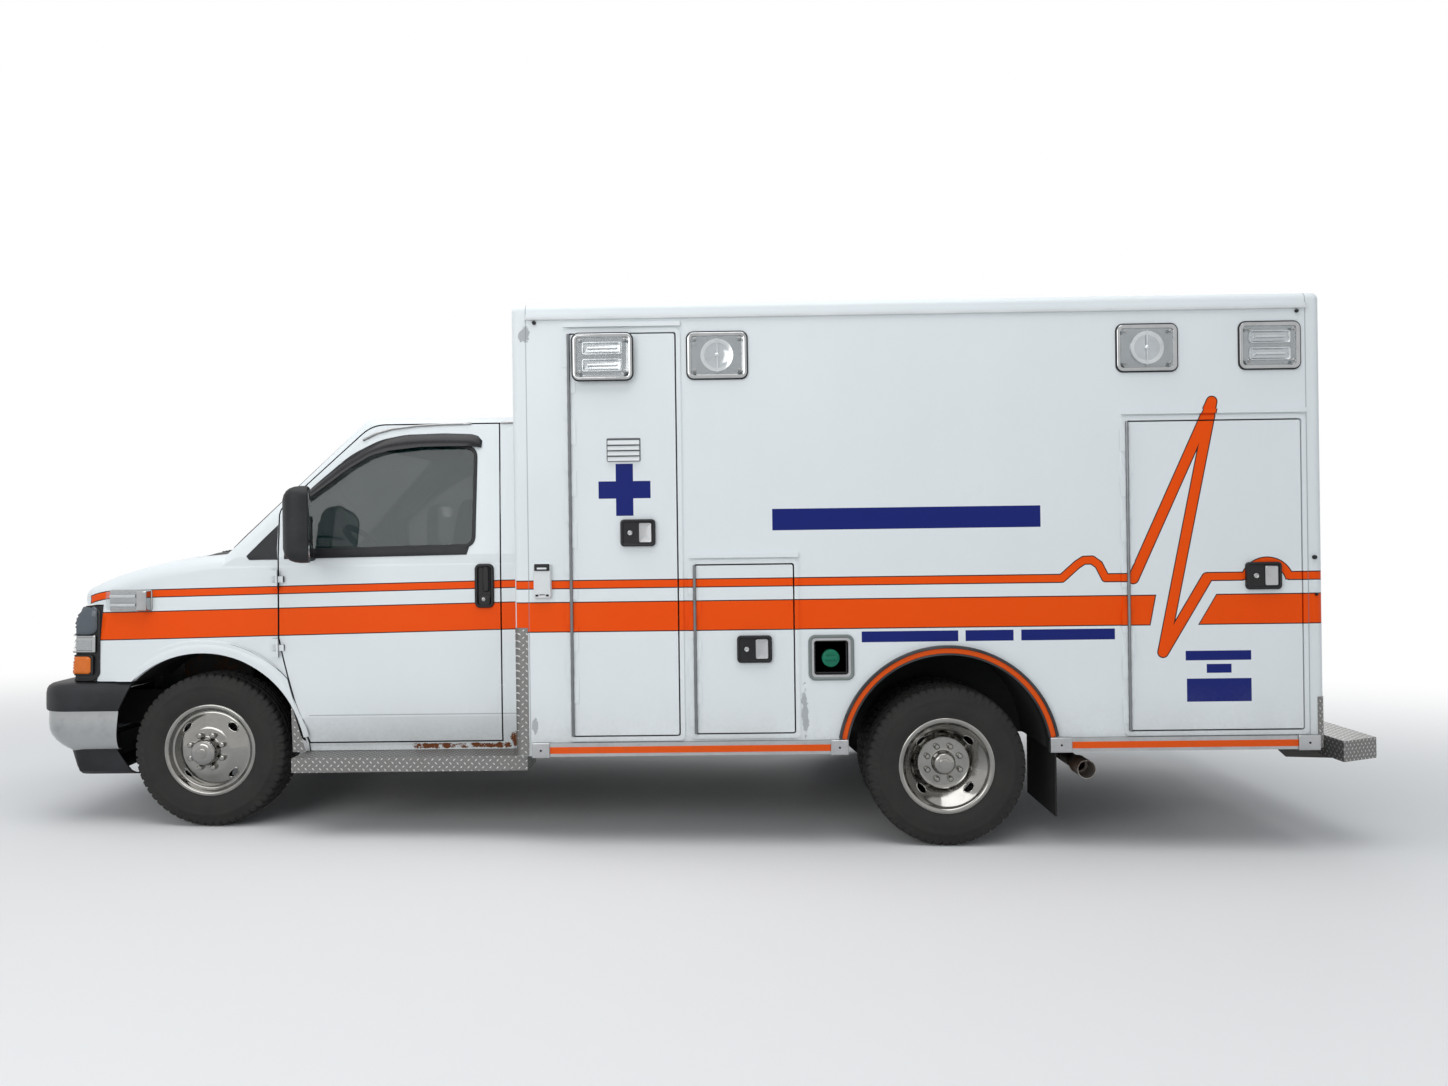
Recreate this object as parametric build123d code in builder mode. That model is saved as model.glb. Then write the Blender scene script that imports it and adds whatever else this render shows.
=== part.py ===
from build123d import *
from math import cos, radians, sin
import os

# A modular ambulance: a van cab and a square patient box on one ladder frame, millimetres.
# The body is drawn level. X runs rearwards from the rear axle,
# Y runs from the left (driver's) side at -Y to the right side at +Y, Z is up from the road.
# At the end every piece is turned by the rake, so that all six tyres stand on the road.

# Stance and running gear
wheelbase = 3531
rake = 1.2
tyre_radius = 372
tyre_width = 225
rim_radius = 203
rim_lip_radius = 224
rim_half_width = 95
front_wheel_plane = 874
kingpin_plane = 780
rear_wheel_plane = 935
dual_spacing = 268
running_clearance = 0.5

# Cab
cab_rear_x = -2011
cab_half_width = 985
cab_crease_width = 1003
cab_wall = 40
cowl_x = -3640
belt_z = 1343
crease_z = 567
rocker_z = 402
cab_floor_z = 690
floor_thickness = 40
roof_z = 2052
roof_crown = 45
roof_edge_radius = 60
door_gap = 7
cab_door_front_x = -3175
cab_door_rear_x = -2104
cab_door_bottom_z = 445
cab_door_top_z = 1984
cab_door_lean = 0.18
hood_half_width = 800
hood_front_z = 1075
arch_x = -3550
arch_z = 385
arch_radius = 502
arch_lip = 55
arch_lip_height = 10
fender_front_z = 750
glass_thickness = 6
glass_depth = 8

# Patient box
box_front_x = -1991
box_rear_x = 1722
box_half_width = 1206.5
box_wall = 50
box_top_z = 2497
box_roof_thickness = 65
box_edge_radius = 35
skirt_z = 410
front_post = 69
rear_post = 72
floor_top_z = 720
box_floor_thickness = 60
floor_half_width = 690
box_door_thickness = 38
hinge_out = 7
hinge_radius = 6
hinge_leaf = 30
hinge_leaf_thickness = 3
hinge_pitch = 120
hinge_end_gap = 0.3
locker_wall = 12
locker_depth = 430
rear_arch_z = 390
rear_arch_radius = 464
rear_arch_lip = 44
rear_arch_proud = 8
rear_arch_foot_z = 478
wheel_house_radius = 480
wheel_house_wall = 10
wheel_house_inner = 650

# Frame
rail_outer = 480
rail_width = 70
rail_bottom_z = 470
rail_top_z = 640
rail_web = 10
rail_front_x = -4180
rail_rear_x = 1690

# Ends
bumper_front_x = -4430
bumper_corner_radius = 180
step_front_x = 1802
step_rear_x = 2004
step_bottom_z = 343
step_top_z = 439
step_rear_half_width = 1112

half_rise = wheelbase / 2 * sin(radians(rake))
half_run = wheelbase / 2 * cos(radians(rake))
mid_x = -wheelbase / 2
front_axle_x = mid_x - half_run
front_axle_z = tyre_radius + half_rise
rear_axle_x = mid_x + half_run
rear_axle_z = tyre_radius - half_rise
wall_inner = box_half_width - box_wall
wall_top_z = box_top_z - box_roof_thickness


def block(x, y, z, mode=Mode.ADD):
    """A block between two values on each axis."""
    centre = [(a + b) / 2 for a, b in (x, y, z)]
    with Locations(tuple(centre)):
        Box(x[1] - x[0], y[1] - y[0], z[1] - z[0], mode=mode)


def outline(x, z, radius):
    """A rounded rectangle in a side or end plane, between two values each way."""
    with Locations(((x[0] + x[1]) / 2, (z[0] + z[1]) / 2)):
        RectangleRounded(x[1] - x[0], z[1] - z[0], radius)


# Cab form: sections across the nose, from the cowl forward
nose_sections = [
    # x, half width, shoulder height, crown over the shoulder, shoulder radius
    (-3480, 985, 1343, 50, 60),
    (-3850, 980, 1290, 70, 75),
    (-4120, 955, 1200, 85, 85),
    (-4330, 915, 1080, 90, 90),
]
nose_front_x = -4305
nose_corner_x = -4215
nose_corner_radius = 130
glass_base_z = 1300
glass_base_x = -3497
glass_top_x = -2705
glass_base_bulge = 150
glass_top_bulge = 105
side_base_width = 993
side_top_width = 849
pillar_radius = 110


def lower_section(x, half_width, shoulder, crown, radius):
    """One cross-section of the lower body: rocker, crease, shoulder and crowned top."""
    with BuildSketch(Plane.YZ.offset(x)) as section:
        with BuildLine():
            Polyline(
                (-half_width, shoulder),
                (-half_width - cab_crease_width + cab_half_width, crease_z),
                (-half_width + 20, rocker_z),
                (half_width - 20, rocker_z),
                (half_width + cab_crease_width - cab_half_width, crease_z),
                (half_width, shoulder),
            )
            ThreePointArc((half_width, shoulder), (0, shoulder + crown), (-half_width, shoulder))
        make_face()
        fillet(section.vertices().sort_by(Axis.Y)[-2:], radius)
    return section.sketch


def cab_form(inset):
    """The whole cab as one closed solid, its faces moved inwards by inset."""
    with BuildPart() as form:
        sections = [
            lower_section(x, half_width - inset, shoulder - inset, crown, radius)
            for x, half_width, shoulder, crown, radius in nose_sections
        ]
        extrude(sections[0], amount=cab_rear_x - nose_sections[0][0] - inset)
        loft(sections)
        with BuildSketch(Plane.XY.offset(rocker_z - 10)):
            with BuildLine():
                rear = cab_rear_x + 10
                corner = nose_corner_x + inset
                side = cab_crease_width + 20
                ThreePointArc((corner, -side), (nose_front_x + inset, 0), (corner, side))
                Polyline((corner, side), (rear, side), (rear, -side), (corner, -side))
            plan = make_face()
            fillet(plan.vertices().group_by(Axis.X)[0], nose_corner_radius)
        extrude(amount=roof_z, mode=Mode.INTERSECT)
    with BuildPart() as greenhouse:
        lean = inset * 1.44
        for z, half_width, x, bulge in (
            (glass_base_z, side_base_width, glass_base_x, glass_base_bulge),
            (roof_z + roof_crown, side_top_width, glass_top_x, glass_top_bulge),
        ):
            with BuildSketch(Plane.XY.offset(z)):
                with BuildLine():
                    half = half_width - inset
                    rear = cab_rear_x - inset
                    front = x + lean
                    ThreePointArc((front, -half), (front - bulge, 0), (front, half))
                    Polyline((front, half), (rear, half), (rear, -half), (front, -half))
                plan = make_face()
                fillet(plan.vertices().group_by(Axis.X)[0], pillar_radius)
        loft(ruled=True)
        with BuildSketch(Plane.YZ.offset(cab_rear_x + 10)):
            with BuildLine():
                edge = cab_half_width
                eave = roof_z - inset - roof_crown
                ThreePointArc((edge, eave), (0, roof_z - inset), (-edge, eave))
                Polyline((-edge, eave), (-edge, rocker_z), (edge, rocker_z), (edge, eave))
            make_face()
        extrude(amount=-2 * wheelbase, mode=Mode.INTERSECT)
        roof = greenhouse.faces().sort_by(Axis.Z)[-1]
        fillet(roof.edges().sort_by(Axis.X)[:-1], roof_edge_radius)
    return form.part + greenhouse.part


cab_outer = cab_form(0)
cab_skin = cab_outer - cab_form(cab_wall)
cab_proud = cab_form(-arch_lip_height)
glass_skin = cab_form(glass_depth) - cab_form(glass_depth + glass_thickness)


# Cab doors: one outline for the door and, wider by the gap, for its opening
door_plane_y = 1100
door_inner_y = 800
door_curve_z = 950
door_foot_x = -3034
pillar_foot_z = 1575
pillar_top_x = -2730


def cab_door_prism(gap):
    """The left door's outline, cut on a slant so that the rear edge clears its jamb."""
    shift = cab_door_lean * (door_plane_y - cab_half_width)
    with BuildPart() as prism:
        with BuildSketch(Plane(origin=(shift, -door_plane_y, 0), x_dir=(1, 0, 0), z_dir=(0, -1, 0))) as side:
            with BuildLine():
                front = cab_door_front_x
                bottom = cab_door_bottom_z
                ThreePointArc((front, door_curve_z), (-3119, 715), (door_foot_x, bottom))
                Polyline(
                    (door_foot_x, bottom),
                    (cab_door_rear_x, bottom),
                    (cab_door_rear_x, cab_door_top_z),
                    (pillar_top_x, cab_door_top_z),
                    (front, pillar_foot_z),
                    (front, door_curve_z),
                )
            make_face()
            fillet(side.vertices().group_by(Axis.Y)[-1].sort_by(Axis.X)[0], 170)
            fillet(side.vertices().sort_by(Axis.Y)[-1], 40)
            fillet(side.vertices().sort_by(Axis.X)[0:2].sort_by(Axis.Y)[-1], 80)
            if gap:
                offset(amount=gap, kind=Kind.INTERSECTION)
        extrude(amount=door_plane_y - door_inner_y, dir=(-cab_door_lean, 1, 0))
    return prism.part


window_corner = 45
window_points = [
    (-2232, 1386),
    (-2235, 1862),
    (-2560, 1925),
    (-2700, 1905),
    (-2843, 1832),
    (-3010, 1688),
    (-3140, 1560),
    (-3140, 1370),
]


def cab_window_prism():
    """The left door window's outline, straight through the door."""
    with BuildPart() as prism:
        with BuildSketch(Plane.XZ.offset(door_plane_y)) as side:
            Polygon(*window_points, align=None)
            fillet(side.vertices().filter_by(lambda v: v.Y < 1400 or v.X > -2240), window_corner)
        extrude(amount=-cab_half_width)
    return prism.part


def windshield_prism():
    """The windshield's outline seen from the front."""
    with BuildPart() as prism:
        with BuildSketch(Plane.YZ.offset(-3900)) as front:
            Polygon((-850, 1385), (850, 1385), (742, 1935), (-742, 1935), align=None)
            fillet(front.vertices(), 70)
        extrude(amount=1350)
    return prism.part


cab_door_solid = cab_door_prism(0)
cab_door_hole = cab_door_prism(door_gap)
cab_window = cab_window_prism()
windshield_hole = windshield_prism()

with BuildPart() as cab_door_left:
    add(cab_skin)
    add(cab_door_solid, mode=Mode.INTERSECT)
    add(cab_window, mode=Mode.SUBTRACT)

with BuildPart() as door_glass_left:
    add(glass_skin)
    add(cab_window, mode=Mode.INTERSECT)

with BuildPart() as cab_door_right:
    mirror(cab_door_left.part, about=Plane.XZ)

with BuildPart() as door_glass_right:
    mirror(door_glass_left.part, about=Plane.XZ)

with BuildPart() as windshield:
    add(glass_skin)
    add(windshield_hole, mode=Mode.INTERSECT)


far = 5000
left_side = (-far, 0)

# Front end: hood, fenders with their arches and wheel houses, grille and lamps
hood_gap = 7
hood_pin_z = 1386
hood_hinge_y = (330, 430)
hood_hinge_depth = 60
lamp_top_z = 1122
lamp_inner_y = 560
lamp_rear_x = -4091
liner_wall = 10
liner_inner_y = 600


def arch_cylinder(radius, inner_y, outer_y, x=arch_x, z=arch_z):
    """A cylinder across the left side, on the wheel arch's own centre."""
    with BuildPart() as cylinder:
        with BuildSketch(Plane.XZ.offset(inner_y)):
            with Locations((x, z)):
                Circle(radius)
        extrude(amount=outer_y - inner_y)
    return cylinder.part


with BuildPart() as hood:
    add(cab_skin)
    span = (nose_front_x - 50, cowl_x - hood_gap)
    block(span, (-hood_half_width, hood_half_width), (lamp_top_z, roof_z), mode=Mode.INTERSECT)

with BuildPart() as arch_lips:
    add(cab_proud)
    add(arch_cylinder(arch_radius + arch_lip, cab_half_width - 60, 2000), mode=Mode.INTERSECT)
    add(cab_outer, mode=Mode.SUBTRACT)

with BuildPart() as front_fenders:
    add(cab_skin)
    block((-far, cab_door_front_x + 200), (-far, -hood_half_width - hood_gap), (0, belt_z), mode=Mode.INTERSECT)
    add(arch_cylinder(arch_radius + liner_wall, liner_inner_y, cab_half_width - 10))
    add(arch_lips.part)
    block((-far, lamp_rear_x), left_side, (0, lamp_top_z), mode=Mode.SUBTRACT)
    block((-far, arch_x), left_side, (-far, fender_front_z), mode=Mode.SUBTRACT)
    block((-far, far), left_side, (-far, rocker_z), mode=Mode.SUBTRACT)
    add(cab_door_hole, mode=Mode.SUBTRACT)
    block((cab_door_front_x - door_gap, 0), left_side, (door_curve_z, roof_z), mode=Mode.SUBTRACT)
    block((door_foot_x - door_gap, 0), left_side, (0, roof_z), mode=Mode.SUBTRACT)
    add(arch_cylinder(arch_radius, liner_inner_y - 1, 2000), mode=Mode.SUBTRACT)
    mirror(about=Plane.XZ)

# Cab shell: what is left of the skin, with floor, sills, toe board and firewall
firewall_x = -3490
firewall_thickness = 12
firewall_half_width = 890
firewall_drop = 60
tunnel_half_width = 320
tunnel_rear_x = -3190
tunnel_top_z = 1060
tunnel_wall = 15
underfloor_x = -3000
sill_inner_y = 780
sill_wall = 14
walkway_half_width = 300
walkway_top_z = 1750
cab_mount_x = (-3160, -2300)
cab_mount_length = 120


def both_sides(y):
    """A span of distances from the middle, as a span on the left and one on the right."""
    return (-y[1], -y[0]), (y[0], y[1])


with BuildPart() as cab_shell:
    add(cab_skin)
    block((-far, cowl_x), (-far, far), (0, roof_z), mode=Mode.SUBTRACT)
    for side in (-1, 1):
        edge = sorted((side * far, side * (hood_half_width + hood_gap)))
        block((-far, cab_door_front_x - door_gap), edge, (0, belt_z), mode=Mode.SUBTRACT)
        block((-far, door_foot_x - door_gap), edge, (0, door_curve_z), mode=Mode.SUBTRACT)
        edge = sorted((side * far, side * (cab_half_width - door_gap)))
        block((-far, cab_door_front_x), edge, (0, belt_z), mode=Mode.SUBTRACT)
    add(windshield_hole, mode=Mode.SUBTRACT)
    floor_bottom = cab_floor_z - floor_thickness
    cab_end = cab_rear_x - cab_wall
    block((firewall_x, cab_end), (-sill_inner_y, sill_inner_y), (floor_bottom, cab_floor_z))
    block(
        (firewall_x, firewall_x + firewall_thickness),
        (-firewall_half_width, firewall_half_width),
        (floor_bottom, belt_z - firewall_drop),
    )
    for side in (-1, 1):
        sill = sorted((side * sill_inner_y, side * (cab_half_width - 15)))
        riser = sorted((side * sill_inner_y, side * (sill_inner_y + sill_wall)))
        block((door_foot_x, cab_end), sill, (rocker_z, cab_door_bottom_z - door_gap))
        block((door_foot_x, cab_end), riser, (rocker_z, cab_floor_z))
    tunnel_y = (-tunnel_half_width, tunnel_half_width)
    walkway_y = (-walkway_half_width, walkway_half_width)
    block((firewall_x, tunnel_rear_x), tunnel_y, (0, tunnel_top_z), mode=Mode.SUBTRACT)
    block((cab_rear_x - 100, cab_rear_x + 50), walkway_y, (cab_floor_z, walkway_top_z), mode=Mode.SUBTRACT)
    block((underfloor_x, far), (-sill_inner_y, sill_inner_y), (0, floor_bottom), mode=Mode.SUBTRACT)
    for y in both_sides((rail_outer - rail_width, rail_outer)):
        for x in cab_mount_x:
            block((x, x + cab_mount_length), y, (rail_top_z, floor_bottom))
    for door_hole in (cab_door_hole, mirror(cab_door_hole, about=Plane.XZ)):
        add(door_hole, mode=Mode.SUBTRACT)
    for side in (-1, 1):
        liner = arch_cylinder(arch_radius + liner_wall, liner_inner_y, 2000)
        add(liner if side < 0 else mirror(liner, about=Plane.XZ), mode=Mode.SUBTRACT)


def side_box(x, y, z):
    """A loose block between two values on each axis."""
    with BuildPart() as loose:
        block(x, y, z)
    return loose.part


# Hinges: knuckles in turn on the door and on its jamb, each with a leaf lying on the panel
def hinge_halves(axis, height, towards_door, towards_face, faces):
    """The jamb's and the door's half of an upright hinge.

    axis is the pin's x and y, height its span in z. towards_door and towards_face are
    unit steps (x, y) along the panel to the door and from the pin back to the panel.
    """
    halves = []
    count = max(2 * round((height[1] - height[0]) / hinge_pitch / 2) + 1, 3)
    pitch = (height[1] - height[0]) / count
    for half in (0, 1):
        along = towards_door if half else (-towards_door[0], -towards_door[1])
        with BuildPart() as leaf:
            for k in range(half, count, 2):
                low = height[0] + k * pitch + hinge_end_gap / 2
                with BuildSketch(Plane.XY.offset(low)):
                    with Locations(axis):
                        Circle(hinge_radius)
                    near = hinge_out - hinge_leaf_thickness
                    with BuildLine():
                        corners = [
                            tuple(axis[i] + along[i] * a + towards_face[i] * b for i in (0, 1))
                            for a, b in ((0, near), (hinge_leaf, near), (hinge_leaf, faces), (0, faces))
                        ]
                        Polyline(*corners, close=True)
                    make_face()
                extrude(amount=pitch - hinge_end_gap)
        halves.append(leaf.part)
    return halves


# Front end pieces
grille_half_width = 557
grille_slots = 4
grille_bar = 18
grille_frame = 15
grille_edge = 35
lamp_gap = 3
front_seam_z = lamp_top_z - hood_gap
cover_top_z = 750

with BuildPart() as grille:
    add(cab_skin)
    grille_y = (-grille_half_width, grille_half_width)
    slot_y = (-grille_half_width + grille_edge, grille_half_width - grille_edge)
    face_z = (cover_top_z, front_seam_z)
    block((-far, lamp_rear_x), grille_y, face_z, mode=Mode.INTERSECT)
    bars = 2 * grille_frame + (grille_slots + 1) * grille_bar
    slot_height = (front_seam_z - cover_top_z - bars) / grille_slots
    for k in range(grille_slots):
        low = cover_top_z + grille_frame + grille_bar + k * (slot_height + grille_bar)
        block((-far, far), slot_y, (low, low + slot_height), mode=Mode.SUBTRACT)

with BuildPart() as headlamps:
    add(cab_skin)
    block((-far, lamp_rear_x), (-far, -grille_half_width - lamp_gap), face_z, mode=Mode.INTERSECT)
    mirror(about=Plane.XZ)

# Bumper: one plan outline for the chrome face, its black cover and the valance
bumper_half_width = 1005
bumper_shelf_x = -4160
bumper_end_x = -4370
bumper_rear_x = -3967
bumper_rear_top_x = -3887
bumper_wall = 25
chrome_bottom_z = 410
chrome_top_z = 607
valance_bottom_z = 290


def bumper_plan(inset, bottom, top):
    """The bumper's outline in plan, inset from the outermost one, as a solid."""
    with BuildPart() as solid:
        with BuildSketch(Plane.XY.offset(bottom)) as plan:
            with BuildLine():
                half = bumper_half_width - inset
                end = bumper_end_x + inset
                ThreePointArc((end, -half), (bumper_front_x + inset, 0), (end, half))
                Polyline((end, half), (bumper_rear_top_x, half), (bumper_rear_top_x, -half), (end, -half))
            make_face()
            fillet(plan.vertices().sort_by(Axis.X)[:2], bumper_corner_radius - inset)
        extrude(amount=top - bottom)
    return solid.part


def bumper_ring(inset, wall, bottom, top):
    """A band of the bumper's outline, as thick as wall."""
    return bumper_plan(inset, bottom, top) - bumper_plan(inset + wall, bottom, top)


def slanted_end(low, high):
    """A wedge that trims the bumper's rear ends between two points (x, z)."""
    with BuildPart() as wedge:
        with BuildSketch(Plane.XZ.offset(-1500)):
            with BuildLine():
                Polyline(low, high, (0, high[1]), (0, low[1]), close=True)
            make_face()
        extrude(amount=3000)
    return wedge.part


with BuildPart() as front_bumper:
    add(bumper_ring(10, bumper_wall, chrome_bottom_z, chrome_top_z))
    add(slanted_end((bumper_rear_x - 20, chrome_bottom_z), (bumper_rear_x, chrome_top_z)), mode=Mode.SUBTRACT)

with BuildPart() as bumper_cover:
    add(bumper_ring(0, bumper_wall + 10, chrome_top_z, cover_top_z))
    add(bumper_plan(0, cover_top_z - 20, cover_top_z) - side_box((bumper_shelf_x, 0), (-900, 900), (0, far)))
    add(slanted_end((bumper_rear_x, chrome_top_z), (bumper_rear_top_x, cover_top_z)), mode=Mode.SUBTRACT)
    add(bumper_ring(60, bumper_wall, valance_bottom_z, chrome_bottom_z))
    add(bumper_ring(20, 60, chrome_bottom_z - 12, chrome_bottom_z))
    add(slanted_end((bumper_rear_x, valance_bottom_z), (bumper_rear_x - 20, chrome_bottom_z)), mode=Mode.SUBTRACT)

# Inside the cab
dash_half_width = firewall_half_width
dash_section = [(-3478, 1060), (-3478, 1270), (-3300, 1310), (-3080, 1280), (-3050, 1200), (-3130, 1060)]
steering_centre = Vector(-2890, -470, 1360)
steering_slope = (0.892, 0, 1)
steering_radius = 195
steering_rim = 30
steering_thickness = 24

with BuildPart() as dashboard:
    with BuildSketch(Plane.XZ.offset(-dash_half_width)):
        with BuildLine():
            Polyline(*dash_section, close=True)
        make_face()
    extrude(amount=2 * dash_half_width)
    cover_x = (firewall_x + firewall_thickness, tunnel_rear_x)
    inside_y = (-tunnel_half_width + tunnel_wall, tunnel_half_width - tunnel_wall)
    block(cover_x, tunnel_y, (cab_floor_z, tunnel_top_z))
    inside_x = (firewall_x, tunnel_rear_x - tunnel_wall)
    block(inside_x, inside_y, (0, tunnel_top_z - tunnel_wall), mode=Mode.SUBTRACT)
    wheel_plane = Plane(origin=steering_centre, x_dir=(0, 1, 0), z_dir=steering_slope)
    with BuildSketch(wheel_plane):
        Circle(steering_radius)
        Circle(steering_radius - steering_rim, mode=Mode.SUBTRACT)
        Rectangle(350, 45)
        Circle(60)
    extrude(amount=steering_thickness)
    with BuildSketch(wheel_plane):
        Circle(38)
    extrude(amount=-260)

seat_planes = (-480, 480)
with BuildPart() as cab_seats:
    for y in seat_planes:
        span = (y - 240, y + 240)
        block((-2880, -2480), (y - 180, y + 180), (cab_floor_z, 960))
        block((-2930, -2420), span, (960, 1090))
        with BuildSketch(Plane.XZ.offset(-span[0])):
            with BuildLine():
                Polyline((-2500, 1090), (-2390, 1090), (-2270, 1640), (-2370, 1650), close=True)
            make_face()
        extrude(amount=-480)
        with BuildSketch(Plane.XZ.offset(-(y - 140))):
            with BuildLine():
                Polyline((-2362, 1655), (-2275, 1655), (-2255, 1800), (-2335, 1805), close=True)
            make_face()
        extrude(amount=-280)
        block((-2335, -2305), (y - 60, y + 60), (1620, 1680))

# Door mirrors: a housing on two arms, which share a foot below the window
mirror_x = (-3047, -2890)
mirror_z = (1314, 1672)
mirror_y = (1085, 1300)
mirror_arm_x = -2985
mirror_arms = ((900, 1338), (1005, 1520))
mirror_post = ((-3002, -2968), (1005, 1035), (1323, 1535))

with BuildPart() as mirror_left:
    with BuildSketch(Plane.YZ.offset(mirror_x[0])):
        outline((-mirror_y[1], -mirror_y[0]), mirror_z, 45)
    extrude(amount=mirror_x[1] - mirror_x[0], taper=4)
    for inner_y, z in mirror_arms:
        with BuildSketch(Plane.XZ.offset(inner_y)):
            with Locations((mirror_arm_x, z)):
                Ellipse(34, 16)
        extrude(amount=mirror_y[0] + 15 - inner_y)
    block(mirror_post[0], (-mirror_post[1][1], -mirror_post[1][0]), mirror_post[2])
    add(cab_outer, mode=Mode.SUBTRACT)

with BuildPart() as mirror_right:
    mirror(mirror_left.part, about=Plane.XZ)

# Patient box: openings in the two side walls and the rear wall
# name: side (-1 left, 1 right), front x, rear x, bottom z, top z, whether a locker is behind
side_doors = {
    "front_locker_door": (-1, -1727, -1228, 496, 2357, True),
    "middle_locker_door": (-1, -1160, -697, 502, 1286, True),
    "rear_locker_door": (-1, 826, 1625, 495, 1918, True),
    "entry_door": (1, -1727, -1010, 500, 2090, False),
    "right_locker_door": (1, 826, 1625, 495, 1286, True),
}
door_corner = 12
frame_rim = 20
frame_proud = 6
rain_cap = (20, 14, 28)
rear_door_half_width = 640
rear_door_z = (700, 2330)
rear_door_gap = 10
entry_window = ((-1560, -1180), (1330, 1900))
rear_window = ((130, 520), (1400, 1960))
fuel_x = (-623, -441)
fuel_z = (758, 940)
fuel_wall = 12
fuel_depth = 40


def wall_plane(side, out=0):
    """The outer plane of a side wall, its normal outwards."""
    y = side * (box_half_width + out)
    return Plane(origin=(0, y, 0), x_dir=(1, 0, 0) if side < 0 else (-1, 0, 0), z_dir=(0, side, 0))


def wall_solid(side, x, z, radius, inward, outward=0):
    """A rounded block through a side wall, between depths inward and outward."""
    span = x if side < 0 else (-x[1], -x[0])
    with BuildPart() as solid:
        with BuildSketch(wall_plane(side, outward)):
            outline(span, z, radius)
        extrude(amount=-inward - outward)
    return solid.part


def side_wall(side):
    """One side wall with its door openings, door frames, rain caps and wheel arch."""
    with BuildPart() as wall:
        y = sorted((side * box_half_width, side * wall_inner))
        block((box_front_x + front_post, box_rear_x - rear_post), y, (skirt_z, wall_top_z))
        cap_thickness, cap_reach, cap_rise = rain_cap
        for door_side, x0, x1, z0, z1, _ in side_doors.values():
            if door_side == side:
                frame_x = (x0 - frame_rim, x1 + frame_rim)
                frame_z = (z0 - frame_rim, z1 + frame_rim)
                add(wall_solid(side, frame_x, frame_z, 2 * door_corner, 1, frame_proud))
                low = z1 + cap_rise
                cap_y = sorted((side * box_half_width, side * (box_half_width + cap_reach)))
                block(frame_x, cap_y, (low, low + cap_thickness))
        for door_side, x0, x1, z0, z1, _ in side_doors.values():
            if door_side == side:
                doorway = wall_solid(side, (x0, x1), (z0, z1), door_corner, box_wall, frame_proud)
                add(doorway, mode=Mode.SUBTRACT)
        arch_outer = rear_arch_radius + rear_arch_lip
        arch = arch_cylinder(arch_outer, wall_inner, box_half_width + rear_arch_proud, 0, rear_arch_z)
        hole = arch_cylinder(rear_arch_radius, 0, 2000, 0, rear_arch_z)
        arch -= side_box((-far, far), (-far, far), (0, rear_arch_foot_z))
        add(arch if side < 0 else mirror(arch, about=Plane.XZ))
        add(hole if side < 0 else mirror(hole, about=Plane.XZ), mode=Mode.SUBTRACT)
        block((-far, far), (-far, far), (-far, skirt_z), mode=Mode.SUBTRACT)
        if side < 0:
            add(wall_solid(side, fuel_x, fuel_z, 20, fuel_depth), mode=Mode.SUBTRACT)
    return wall


box_left_side = side_wall(-1)
box_right_side = side_wall(1)

box_length = box_rear_x - box_front_x
box_middle_x = (box_rear_x + box_front_x) / 2


def box_plan(grow, bottom, top):
    """The box's outline in plan with rounded corner posts, grown by grow."""
    with BuildPart() as solid:
        with BuildSketch(Plane.XY.offset(bottom)):
            with Locations((box_middle_x, 0)):
                RectangleRounded(box_length + 2 * grow, 2 * (box_half_width + grow), box_edge_radius + grow)
        extrude(amount=top - bottom)
    return solid.part


with BuildPart() as box_end_walls:
    add(box_plan(0, skirt_z, wall_top_z))
    block((box_front_x + front_post, box_rear_x - rear_post), (-far, far), (0, far), mode=Mode.SUBTRACT)
    block((box_front_x + box_wall, box_rear_x - box_wall), (-wall_inner, wall_inner), (0, far), mode=Mode.SUBTRACT)
    block((-far, far), (-floor_half_width, floor_half_width), (0, floor_top_z - box_floor_thickness), mode=Mode.SUBTRACT)
    block((-far, 0), (-walkway_half_width, walkway_half_width), (floor_top_z, walkway_top_z), mode=Mode.SUBTRACT)
    block((0, far), (-rear_door_half_width, rear_door_half_width), rear_door_z, mode=Mode.SUBTRACT)

with BuildPart() as box_roof:
    add(box_plan(0, wall_top_z, box_top_z))
    fillet(box_roof.faces().sort_by(Axis.Z)[-1].edges(), box_edge_radius - 1)
    for y in both_sides((box_half_width - 5, box_half_width + 12)):
        block((box_front_x + front_post, box_rear_x - rear_post), y, (wall_top_z, wall_top_z + 14))

well_wall = 20
well_drop = 10
stretcher_x = (-400, 1500)
stretcher_half_width = 150
stretcher_z = 725

with BuildPart() as box_floor:
    span = (box_front_x + box_wall, box_rear_x - box_wall)
    floor_bottom_z = floor_top_z - box_floor_thickness
    block(span, (-wall_inner, wall_inner), (floor_bottom_z, floor_top_z))
    # Plate under the stretcher's fastener
    block(stretcher_x, (-stretcher_half_width, stretcher_half_width), (floor_top_z, stretcher_z))
    # Hole of the step well inside the entry door
    _, well_front, well_rear, well_z, _, _ = side_doors["entry_door"]
    well_y = (floor_half_width, wall_inner)
    block((well_front, well_rear), well_y, (floor_bottom_z, floor_top_z), mode=Mode.SUBTRACT)
    for side, x0, x1, z0, z1, locker in side_doors.values():
        if locker:
            y = sorted((side * far, side * (wall_inner - locker_depth)))
            x = (x0 - locker_wall, x1 + locker_wall)
            block(x, y, (z0 - locker_wall, z1 + locker_wall), mode=Mode.SUBTRACT)
    for y in both_sides((rail_outer - rail_width, rail_outer)):
        block(span, y, (rail_top_z, floor_bottom_z))
    wheel_house = arch_cylinder(wheel_house_radius, wheel_house_inner, wall_inner, 0, rear_arch_z)
    add(wheel_house, mode=Mode.SUBTRACT)
    add(mirror(wheel_house, about=Plane.XZ), mode=Mode.SUBTRACT)

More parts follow.
